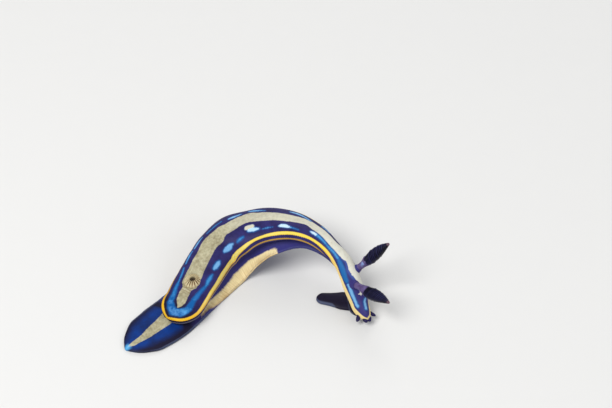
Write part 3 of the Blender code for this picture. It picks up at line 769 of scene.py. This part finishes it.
def newGroup(name, *floats):
    # a geometry tree, the identifiers of its named inputs, and their values in the tree
    kinds = {"Count": "Int", **dict.fromkeys(floats, "Float"), "Turn": "Rotation", "Place": "Vector"}
    group = bpy.data.node_groups.new(name, "GeometryNodeTree")
    group.interface.new_socket("Geometry", in_out="INPUT", socket_type="NodeSocketGeometry")
    inputs = {}
    for key, kind in kinds.items():
        made = group.interface.new_socket(key, in_out="INPUT", socket_type="NodeSocket" + kind)
        inputs[key] = made.identifier
    group.interface.new_socket("Geometry", in_out="OUTPUT", socket_type="NodeSocketGeometry")
    tree = Tree(group)
    entry = group.nodes.new("NodeGroupInput")
    return tree, inputs, {item.name: Signal(tree, item) for item in entry.outputs if item.name}


def finishGroup(tree, socket, shape, material):
    # the shape turned, moved to its place, made real and painted
    moved = tree.node("GeometryNodeTransform",
                      {"Geometry": shape, "Rotation": socket["Turn"], "Translation": socket["Place"]})
    real = tree.node("GeometryNodeRealizeInstances", {0: moved})
    painted = tree.node("GeometryNodeSetMaterial", {0: real, "Material": material})
    tree.node("NodeGroupOutput", {0: painted})


def grown(name, source, group, inputs, values):
    # the source mesh through a node tree, turned into a plain mesh
    piece = inScene(name, source)
    modifier = piece.modifiers.new("grow", "NODES")
    modifier.node_group = group
    for key, value in values.items():
        modifier[inputs[key]] = value
    mesh = bpy.data.meshes.new_from_object(piece.evaluated_get(bpy.context.evaluated_depsgraph_get()))
    piece.modifiers.remove(modifier)
    piece.data = mesh
    mesh.shade_smooth()
    return piece


wet = {"Coat Weight": 0.02, "Coat Roughness": 0.25, "Subsurface Weight": 0.06, "Subsurface Scale": 0.0005,
       "Subsurface Radius": (1.0, 0.6, 0.4), "Specular IOR Level": 0.14}

skinColours = {
    "navy": (46, 42, 102), "navyDeep": (28, 22, 66), "indigo": (62, 86, 156), "purple": (54, 50, 112),
    # front is navy darkened as painted shade, for the foot's front corners, the trunk's head end and part of
    # the lips
    "under": (54, 52, 118), "front": (20, 14, 32), "margin": (18, 15, 40),
    "cream": (176, 170, 140), "creamDull": (138, 130, 102), "creamHead": (210, 208, 194),
    # backCreaseShade: brown painted along the back's wrinkles as their crease shade
    "backCreaseShade": (128, 106, 78), "ivory": (196, 192, 170),
    "blue": (4, 82, 146), "blueLight": (84, 168, 222), "lavender": (100, 142, 196), "white": (192, 216, 232),
    "royal": (2, 54, 132), "royalDeep": (6, 30, 78),
    "yellow": (230, 196, 50), "yellowPale": (226, 208, 122), "yellowHead": (222, 202, 146),
    # farRimShade: the yellow darkened as painted shade on the left rear rim
    "orange": (206, 148, 12), "farRimShade": (150, 104, 24),
    "gold": (172, 134, 58), "tan": (150, 128, 98), "grey": (90, 86, 102),
    # underMantleShade: brown painted as shade where the tail's streak runs under the mantle
    "flank": (230, 212, 162), "flankDull": (166, 134, 82), "underMantleShade": (132, 96, 50), "edgeGreyAndHighlight": (70, 78, 104),
    "sole": (112, 112, 146),
}
# sizes of the noises as their scale, the markings' soft edge in mm, and the relief
skinLook = {"wobble": 900.0, "fine": 3600.0, "mottle": 1500.0, "cloud": 420.0, "grain": 5200.0,
            "wrinkle": 2.2, "edge": 0.035, "bump": 0.35, "bumpDeep": 0.00008}


def skinMaterial():
    material, tree, place = newMaterial("slug_skin")
    look = colours(skinColours)
    field = {name: tree.attribute(name) for name in fieldNames}
    along, pale = field["along"], field["pale"]
    wobble = tree.noise(place, skinLook["wobble"], 3.0) - 0.5
    fine = tree.noise(place, skinLook["fine"], 3.0, 0.6) - 0.5
    mottle = tree.noise(place, skinLook["mottle"], 4.0, 0.65)
    cloud = tree.noise(place, skinLook["cloud"])
    shift = wobble * 0.16 + fine * 0.10
    soft = skinLook["edge"]

    def after(s, blend):
        # 1 from a place along the body towards the head
        return edgeMask(along - s, blend)

    def before(s, blend):
        return edgeMask(s - along, blend)

    def inside(name, part, blend=soft):
        # 1 inside a field, whose edge is shifted by part of the noise
        return edgeMask(field[name] + shift * part, blend)

    def layered(colour, *layers):
        # one colour over the other where its mask is 1, each by its name or made in the tree
        for mask, paint in layers:
            first, second = (look[item] if isinstance(item, str) else item for item in (colour, paint))
            colour = tree.mixed(mask, first, second)
        return colour

    # navy ground, finely wrinkled across the body
    onBody = after(7.5, 0.8)
    lines = tree.noise(tree.vector(along * skinLook["wrinkle"], field["around"] * 0.55, 0.0), 2.2, 3.0, 0.6)
    navy = layered("navyDeep", (((mottle - 0.5) * 1.4 + (cloud - 0.5) * 1.6 + 0.5).clamped(), "navy"))
    neck = after(30.4, 0.8) * before(33.4, 0.8)
    below = edgeMask(0.0 - field["rimDepth"] - 0.5, 0.06) * onBody * before(29.0, 1.6)
    # where purple is below 0 the near-black front colour goes on: navy darkened as painted shade on the foot's
    # front corners, the head end and the lips
    colour = layered("margin", (onBody, navy), ((field["purple"] * 0.8).clamped(), "purple"),
                     ((0.0 - field["purple"]).clamped(), "front"),
                     (neck * edgeMask(field["cream"] + 0.26, 0.12) * 0.75, "indigo"), (below * 0.85, "under"))

    # cream back, with brown wrinkle lines painted as crease shade, fine ones all over it and a few across it
    # just behind the gills
    speckle = (mottle - 0.5) * 2.4 + fine * 2.2 + (cloud - 0.5) * 1.5
    nearGills = edgeMask(0.42 - (along - 8.95).absolute(), 0.15)
    wrinkles = ((along + wobble * 0.35) * 21.0).sine()
    cream = layered("creamDull", ((speckle + 0.55).clamped(), "cream"),
                    (after(24.0, 7.0) * (0.5 + mottle).clamped(), "creamHead"),
                    (((lines - 0.60) * 5.0).clamped() * 0.4, "backCreaseShade"),
                    ((wrinkles * 1.6 - 0.4 + fine * 3.0).clamped() * nearGills * 0.75, "backCreaseShade"))
    fade = (wobble + fine) * 0.5 * after(32.6, 0.8)

    # blue marks with a glow round them; the loop round the rear end is blotched
    light = layered("blueLight", (pale.clamped(), "white"), (((pale - 1.0) * 5.0).clamped(), "ivory"),
                    (before(6.9, 0.5) * (0.2 + 1.2 * cloud).clamped() * 0.8, "lavender"))
    blotches = before(8.0, 1.2) * (mottle - 0.52) * 2.6
    core = edgeMask(field["blue"] - 0.01 + shift, 0.07) * (0.45 + 0.9 * pale + blotches).clamped()
    colour = layered(colour, (edgeMask(field["cream"] + shift + fade, soft), cream),
                     (edgeMask(field["glow"] - 0.04 + shift, 0.10), "blue"), (core, light))

    # yellow band, paler inwards, orange at the rim and towards the tail, and darkened to brown round the left
    # rear as painted shade on the far side
    paler = (0.35 + 0.60 * before(23.5, 3.0)) * ((mottle - 0.5) * 2.0 + 0.9).clamped()
    # turned: the left side, where the rear rim gets the brown painted shade
    turned = edgeMask(0.0 - field["around"], 0.5) * after(7.2, 0.8)
    well = edgeMask(field["yellow"] - 0.05 + shift * 0.6, 0.08)
    hot = layered("yellow", (well * paler * onBody, "yellowPale"),
                  (edgeMask(0.09 - field["rimDepth"], 0.05) * 0.55, "orange"),
                  (before(8.6, 1.4) * 0.6, "orange"), (after(30.8, 1.8) * 0.85, "yellowHead"),
                  (turned * before(13.0, 1.5) * 0.7, "farRimShade"))
    # thin line under it: grey round the rear end, broad and tan, then gold
    thin = layered("grey", (after(8.6, 0.8), "tan"), (after(16.5, 2.2), "gold"))

    # tail and flank
    royal = layered("royalDeep", (((cloud - 0.5) * 2.0 + (mottle - 0.5) + 0.5).clamped(), "royal"))
    # the tail's cream streak turns brown from s 5.75 on, where it runs in under the mantle's rear: painted
    # shade
    streak = layered(cream, (edgeMask(along - 5.75 + wobble, 0.3) * 0.7, "underMantleShade"))
    tip = edgeMask(0.52 - along + wobble * 0.4, 0.16) * edgeMask(field["tailCream"] + 0.22, 0.14)
    bright = (lines - 0.5) * 1.4 + (cloud - 0.5) * 1.4 + 0.25 + 0.75 * pale
    flank = layered("flankDull", (bright.clamped(), "flank"))
    colour = layered(colour, (inside("yellow", 0.35), hot), (inside("gold", 0.3, 0.03), thin),
                     (inside("tailBlue", 1.8, 0.44), royal),
                     (inside("tailCream", 0.8) * before(7.2, 0.5), streak), (tip * 0.8, "blueLight"),
                     (inside("flank", 1.0, soft * 1.6), flank),
                     # edgeGreyAndHighlight: the grey line along the tail's thin edge, and on the foot's front
                     # corners a painted highlight along their lower side
                     (inside("margin", 0.6, 0.06) * 0.8, "edgeGreyAndHighlight"), (field["sole"] * 0.85, "sole"))

    relief = lines * 0.5 + tree.noise(place, skinLook["grain"]) * 0.35 + mottle * 0.4
    tree.finish(colour, 0.48 + 0.2 * mottle, relief, skinLook["bump"], skinLook["bumpDeep"], wet)
    return material


# Rhinophores

rhino = {
    "long": 5.0, "clubLong": 3.6, "clubRadius": 0.76, "flat": 0.95, "stalkRadius": 0.42,
    "lamellae": 16, "thick": 0.13, "tilt": 24.0, "core": 0.66, "coreRings": 36, "coreSides": 20,
    # one lamella of radius 1: part of the radius and height, and the notch in front
    "blade": ((0.80, 0.5), (0.95, 0.28), (1.0, 0.0), (0.95, -0.28), (0.80, -0.5)), "bladeSides": 22,
    "notch": 0.10, "notchWide": 0.28,
    # the club swells from its base, and its radius is the sine of an angle to this power
    "swellBase": 0.16, "swellSpan": 0.80, "swellBulge": 0.8, "swellPower": 0.75,
    "stalkRings": 22, "stalkSides": 28, "sunk": 0.45, "intoClub": 0.25,
}


def bladeMesh():
    # a thin disc with a rounded edge, notched a little in front
    turns, verts = rhino["bladeSides"], []
    for out, height in rhino["blade"]:
        for k in range(turns):
            angle = 2 * math.pi * k / turns
            front = math.remainder(angle, 2 * math.pi)
            wide = out * (1 - rhino["notch"] * math.exp(-(front / rhino["notchWide"]) ** 2))
            verts.append((wide * math.cos(angle), wide * math.sin(angle), height))
    rings = len(rhino["blade"])
    faces = [(a, d, c, b) for a, b, c, d in ringFaces(rings, turns)]
    top, bottom, last = len(verts), len(verts) + 1, (rings - 1) * turns
    for k in range(turns):
        after = (k + 1) % turns
        faces += [(top, k, after), (bottom, last + after, last + k)]
    mesh = bpy.data.meshes.new("lamella")
    mesh.from_pydata(verts + [(0, 0, 0.5), (0, 0, -0.5)], [], faces)
    return mesh


def swellAngle(part):
    return (rhino["swellBase"] + rhino["swellSpan"] * part ** rhino["swellBulge"]) * math.pi


def clubTree(material):
    # lamellae threaded on a core along +Z, then turned and moved to the stalk's end
    tree, inputs, socket = newGroup("lamellaeOnClub", "Length", "Radius", "Flat", "Thickness", "Tilt", "Core")

    def radiusAt(part):
        return swellAngle(part).sine() ** rhino["swellPower"] * socket["Radius"]

    def upward(length):
        return tree.vector(0.0, 0.0, length)

    start, step = (upward(socket["Length"] * part / socket["Count"]) for part in (0.5, 0.97))
    line = tree.node("GeometryNodeMeshLine",
                     {"Count": socket["Count"], "Start Location": start, "Offset": step})
    wide = radiusAt((tree.node("GeometryNodeInputIndex") + 0.5) / socket["Count"]) * tree.random(0.96, 1.04, 7)
    blades = tree.instances(line, socket["Geometry"], (0.0, socket["Tilt"], 0.0),
                            (wide, wide * socket["Flat"], socket["Thickness"]))
    axis = tree.node("GeometryNodeCurvePrimitiveLine",
                     {"Start": (0.0, 0.0, 0.0), "End": upward(socket["Length"])})
    axis = tree.node("GeometryNodeResampleCurve", {"Curve": axis, "Count": rhino["coreRings"]})
    ring = tree.node("GeometryNodeCurvePrimitiveCircle", {"Resolution": rhino["coreSides"], "Radius": 1.0})
    thick = radiusAt(tree.node("GeometryNodeSplineParameter") * 0.985) * socket["Core"]
    core = tree.node("GeometryNodeCurveToMesh",
                     {"Curve": axis, "Profile Curve": ring, "Scale": thick, "Fill Caps": True})
    oval = tree.vector(1.0, socket["Flat"], 1.0)
    flat = tree.node("GeometryNodeTransform", {"Geometry": core, "Scale": oval})
    both = tree.node("GeometryNodeJoinGeometry")
    for shape in (blades, flat):
        tree.tree.links.new(shape.socket, both.socket.node.inputs[0])
    finishGroup(tree, socket, both, material)
    return tree.tree, inputs


rhinoLook = {"club": (10, 8, 22), "edge": (46, 46, 88), "tip": (130, 100, 112),
             "stalk": (64, 44, 84), "stalkPale": (104, 92, 138), "patch": (132, 156, 208)}


def rhinoMaterial():
    material, tree, place = newMaterial("rhinophore_skin")
    look = colours(rhinoLook)
    mottle = tree.noise(place, 2600.0, 3.0, 0.6)
    height = tree.attribute("clubPart")
    colour = tree.mixed(tree.attribute("ridge"), look["club"], look["edge"])
    colour = tree.mixed(edgeMask(height - 0.95, 0.03) * 0.6, colour, look["tip"])
    stalk = tree.mixed(((mottle - 0.5) * 2.0 + 0.5).clamped(), look["stalk"], look["stalkPale"])
    patch = edgeMask(tree.noise(place, 900.0) - 0.54, 0.04) * edgeMask(height + 1.24, 0.08)
    stalk = tree.mixed(patch * 0.8, stalk, look["patch"])
    colour = tree.mixed(edgeMask(0.0 - height, 0.05), colour, stalk)
    tree.finish(colour, 0.28 + 0.2 * mottle, mottle, 0.3, 0.00004, wet)
    return material


def turnTo(axis, side):
    # angles of the turn that takes +Z to axis and +X near side
    z = Vector(axis).normalized()
    x = (Vector(side) - z * Vector(side).dot(z)).normalized()
    return tuple(Matrix((x, z.cross(x), z)).transposed().to_euler())


def makeRhinophore(side, group, inputs, material):
    root, low, lean = rhinoAxes(side)
    knee = root + lean * (rhino["long"] - rhino["clubLong"])
    values = {"Count": rhino["lamellae"], "Length": rhino["clubLong"] * mm, "Radius": rhino["clubRadius"] * mm,
              "Flat": rhino["flat"], "Thickness": rhino["thick"] * mm, "Tilt": math.radians(rhino["tilt"]),
              "Core": rhino["core"], "Turn": turnTo(lean, frameAt(head["rhino"][side][0])[1]),
              "Place": tuple(knee * mm)}
    whole = grown("rhinophoreWhole_" + side, bladeMesh(), group, inputs, values)

    # the stalk bends from the collar to the club
    parts = np.linspace(0, 1, rhino["stalkRings"])
    foot, bend = (root + low * (head["collarHigh"] + up) for up in (-rhino["sunk"], rhino["sunk"]))
    end = knee + lean * rhino["intoClub"]
    centres = [(1 - t) ** 2 * foot + 2 * t * (1 - t) * bend + t * t * end for t in parts]
    axes = [unit((1 - t) * (bend - foot) + t * (end - bend)) for t in parts]
    sizes = rhino["stalkRadius"] * (1.12 - 0.30 * np.sin(parts * math.pi) + 0.25 * parts ** 3)
    stalk = pipe(list(zip(centres, axes, sizes)), rhino["stalkSides"])
    rows, columns = stalk.shape[:2]
    work = bmesh.new()
    work.from_mesh(whole.data)
    clubCount = len(work.verts)
    made = [work.verts.new(tuple(point * mm)) for ring in stalk for point in ring]
    for face in ringFaces(rows, columns) + [range(columns)[::-1], range((rows - 1) * columns, rows * columns)]:
        work.faces.new([made[k] for k in face])
    for face in work.faces:
        face.smooth = True
    bmesh.ops.recalc_face_normals(work, faces=work.faces[:])
    work.to_mesh(whole.data)
    work.free()

    # fields: how far along the club a point lies, below -1 on the stalk, and how far out from
    # the axis, as a part of the club's radius there
    points = np.empty(len(whole.data.vertices) * 3, np.float32)
    whole.data.vertices.foreach_get("co", points)
    places = points.reshape(-1, 3) / mm - knee
    part = places @ lean / rhino["clubLong"]
    part[clubCount:] = -1 - 0.6 * (1 - np.repeat(parts, columns))
    off = np.linalg.norm(places - (places @ lean)[:, None] * lean, axis=1)
    swell = np.sin(swellAngle(np.clip(part, 0.0, 1.0))) ** rhino["swellPower"] * rhino["clubRadius"]
    setField(whole.data, "clubPart", part)
    setField(whole.data, "ridge", np.clip((off / np.maximum(swell, 0.05) - 0.80) / 0.2, 0, 1))
    whole.data.materials.clear()
    whole.data.materials.append(material)
    return whole


# Gill pocket

gill = {
    "radius": 0.92, "oval": 0.9, "folds": 17, "foldSides": 12, "foldHigh": 0.08,
    # part of the radius and mm up, from the outer edge over the lip and down into the hole
    "profile": ((1.12, -0.34), (1.10, -0.12), (1.04, -0.035), (0.97, 0.01), (0.90, 0.05), (0.82, 0.10),
                (0.74, 0.15), (0.66, 0.19), (0.58, 0.215), (0.50, 0.225), (0.43, 0.215), (0.37, 0.18),
                (0.32, 0.12), (0.285, 0.04), (0.27, -0.06), (0.26, -0.18), (0.25, -0.32), (0.20, -0.42)),
    "tips": 9, "tipRing": 0.17, "tipLong": 0.34, "tipRadius": 0.075, "tipDown": 0.30, "tipLean": 0.16,
    "plumeRings": 9, "plumeSides": 8,
}


def makeGillCollar():
    # puckered rosette round a hole, whose inside is painted dark as shade
    seat = backPoint(mantle["gillAt"], 0.0)[0]
    _, forward, right, up = frameAt(mantle["gillAt"])
    angles = np.linspace(0, 2 * math.pi, gill["folds"] * gill["foldSides"], endpoint=False)
    rng = np.random.default_rng(5)
    uneven = sum(np.sin(angles * k + rng.uniform(0, 6.28)) / k for k in (1, 2, 3, 4))
    folds = np.abs(np.sin(angles * gill["folds"] / 2 + 0.35 * uneven)) ** 1.1
    # painted crease shade in the fold valleys is strongest towards the rear and the right
    strong = 0.30 + 0.70 * ease(-0.5, 0.7, -np.cos(angles) * 0.6 + np.sin(angles) * 0.8)
    rings, creases = [], []
    for out, height in gill["profile"]:
        puff = math.exp(-((out - 0.56) / 0.34) ** 2)
        lift = height + gill["foldHigh"] * puff * (folds - 0.6) * 1.6
        fold = 0.035 if out < 0.5 else -0.0105
        reach = gill["radius"] * (out + puff * (fold * folds + 0.02 * uneven))
        rings.append(seat + forward * (reach * np.cos(angles))[:, None]
                     + right * (reach * gill["oval"] * np.sin(angles))[:, None] + up * lift[:, None])
        creases.append((1 - folds) * puff ** 0.5 * strong)
    points = np.array(rings)
    fields = emptyFields(points.shape[:2])
    fields["cream"] = np.ones(points.shape[:2])
    fields["along"] += mantle["gillAt"]
    # the sole field carries where brown crease shade is painted
    fields["sole"] = np.array(creases)
    fields["around"] += np.array(gill["profile"])[:, :1]
    return gridMesh("gillCollar", [(points, fields)]), seat


# creaseShade and holeShade are painted shade: brown in the collar's fold valleys and dark down the inside of
# the hole
gillLook = {"cream": (166, 150, 112), "creamPale": (206, 194, 156), "creaseShade": (96, 64, 32),
            "holeShade": (34, 24, 22), "plume": (58, 40, 30), "plumePale": (150, 128, 104)}


def gillMaterial():
    material, tree, place = newMaterial("gill_skin")
    look = colours(gillLook)
    mottle = tree.noise(place, 2600.0, 4.0, 0.6)
    creaseShade, out = tree.attribute("sole"), tree.attribute("around")
    colour = tree.mixed(((mottle - 0.3) * 2.0).clamped(), look["cream"], look["creamPale"])
    # painted shade: brown in the fold valleys, then dark down the inside of the hole
    colour = tree.mixed(((creaseShade * 3.0 - 0.40) + (mottle - 0.5) * 0.8).clamped(), colour, look["creaseShade"])
    colour = tree.mixed(edgeMask(0.33 - out, 0.08), colour, look["holeShade"])
    tree.finish(colour, 0.32 + 0.2 * mottle, mottle, 0.3, 0.00005, wet)
    return material


def plumeMesh():
    # tip of one withdrawn gill: a tapered leaf with notched edges
    rings, sides, verts = gill["plumeRings"], gill["plumeSides"], []
    for ring in range(rings):
        part = ring / (rings - 1)
        wide = (1.0 - 0.75 * part ** 1.5) * (1.0 if ring % 2 else 0.72)
        for angle in (2 * math.pi * k / sides for k in range(sides)):
            verts.append((wide * math.cos(angle), 0.55 * wide * math.sin(angle), part))
    ends = [tuple(reversed(range(sides))), tuple(range((rings - 1) * sides, rings * sides))]
    mesh = bpy.data.meshes.new("plume")
    mesh.from_pydata(verts, [], ringFaces(rings, sides) + ends)
    return mesh


def plumeTree(material):
    # plumes on a ring, leaning in a little, each of its own height
    tree, inputs, socket = newGroup("plumesOnRing", "Ring", "Length", "Radius")
    circle = tree.node("GeometryNodeMeshCircle", {"Vertices": socket["Count"], "Radius": socket["Ring"]})
    angle = tree.node("GeometryNodeInputIndex") * (2 * math.pi) / socket["Count"]
    size = (socket["Radius"], socket["Radius"], socket["Length"] * tree.random(0.75, 1.1, 4))
    plumes = tree.instances(circle, socket["Geometry"], (0.0, gill["tipLean"], angle), size)
    finishGroup(tree, socket, plumes, material)
    return tree.tree, inputs


def plumeMaterial():
    material, tree, place = newMaterial("gill_tips")
    mottle = tree.noise(place, 3500.0, 3.0, 0.6)
    look = colours(gillLook)
    colour = tree.mixed(mottle, look["plume"], look["plumePale"])
    tree.finish(colour, 0.3 + 0.2 * mottle, mottle, 0.3, 0.00003, wet)
    return material


def makeGillTips(seat):
    _, forward, _, up = frameAt(mantle["gillAt"])
    group, inputs = plumeTree(plumeMaterial())
    values = {"Count": gill["tips"], "Ring": gill["tipRing"] * mm, "Length": gill["tipLong"] * mm,
              "Radius": gill["tipRadius"] * mm, "Turn": turnTo(up, forward),
              "Place": tuple((seat - up * gill["tipDown"]) * mm)}
    return grown("gillTips", plumeMesh(), group, inputs, values)


# Stage: pale floor, soft studio light, and the camera at the photo's angle

stage = {
    "elevation": 46.0, "distance": 190.0, "lookAt": (5.288, 10.295, 3.0), "lens": 100.0, "sensor": 36.0,
    "floor": srgb(212, 211, 208), "floorSpeck": srgb(205, 204, 201), "floorHalf": 0.8, "floorDrop": 0.00002,
    "world": 0.42, "worldColour": (0.93, 0.95, 1.0, 1.0), "lit": (0, 0, 0.002),
    # name, place and size in m, watts and colour
    "lights": (("key", (-0.16, -0.14, 0.30), 0.22, 1.25, (1.0, 1.0, 1.0)),
               ("fill", (0.28, -0.10, 0.20), 0.26, 0.35, (0.95, 0.97, 1.0)),
               ("back", (0.05, 0.30, 0.22), 0.20, 0.35, (1.0, 1.0, 1.0))),
}


def addLight(name, place, size, watts, colour):
    light = bpy.data.lights.new(name, "AREA")
    light.shape, light.size, light.energy, light.color = "DISK", size, watts, colour
    lamp = inScene(name, light)
    lamp.location = place
    lamp.rotation_euler = (Vector(stage["lit"]) - Vector(place)).to_track_quat("-Z", "Y").to_euler()


def makeStage():
    mesh = bpy.data.meshes.new("floor")
    half = stage["floorHalf"]
    corners = [(-half, -half, 0), (half, -half, 0), (half, half, 0), (-half, half, 0)]
    mesh.from_pydata(corners, [], [(0, 1, 2, 3)])
    floor = inScene("floor", mesh)
    floor.location.z = -stage["floorDrop"]
    material, tree, place = newMaterial("floor_paper")
    grain = tree.noise(place, 400.0, 3.0)
    colour = tree.mixed(grain * 0.15, stage["floor"], stage["floorSpeck"])
    tree.finish(colour, 0.75 + 0.1 * grain, grain, 0.05, 0.0001, {})
    mesh.materials.append(material)
    for settings in stage["lights"]:
        addLight(*settings)
    world = bpy.data.worlds.new("studio")
    world.use_nodes = True
    background = world.node_tree.nodes["Background"]
    background.inputs[0].default_value = stage["worldColour"]
    background.inputs[1].default_value = stage["world"]
    bpy.context.scene.world = world
    camera = bpy.data.cameras.new("camera")
    camera.lens, camera.sensor_width = stage["lens"], stage["sensor"]
    camera.clip_start = 0.005
    eye = inScene("camera", camera)
    angle = math.radians(stage["elevation"])
    away = Vector((0, -math.cos(angle), math.sin(angle))) * stage["distance"]
    eye.location = (Vector(stage["lookAt"]) + away) * mm
    eye.rotation_euler = (math.pi / 2 - angle, 0, 0)
    bpy.context.scene.camera = eye
    bpy.context.scene.view_settings.view_transform = "Standard"


print("stage")
makeStage()

print("skin")
skin = makeSkin()
skin.data.materials.append(skinMaterial())
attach(skin, "root")
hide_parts("tail", "foot_rear", "foot_mid", "foot_front", "mantle_rear", "mantle_mid", "mantle_front", "head")

print("gill pocket")
collar, seat = makeGillCollar()
collar.data.materials.append(gillMaterial())
tips = makeGillTips(seat)
for piece in (collar, tips):
    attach(piece, "root")
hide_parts("gills")

print("rhinophores")
clubSkin = rhinoMaterial()
clubGroup, clubInputs = clubTree(clubSkin)
for side in ("left", "right"):
    whole = makeRhinophore(side, clubGroup, clubInputs, clubSkin)
    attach(whole, "root")
    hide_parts("rhinophore_" + side)
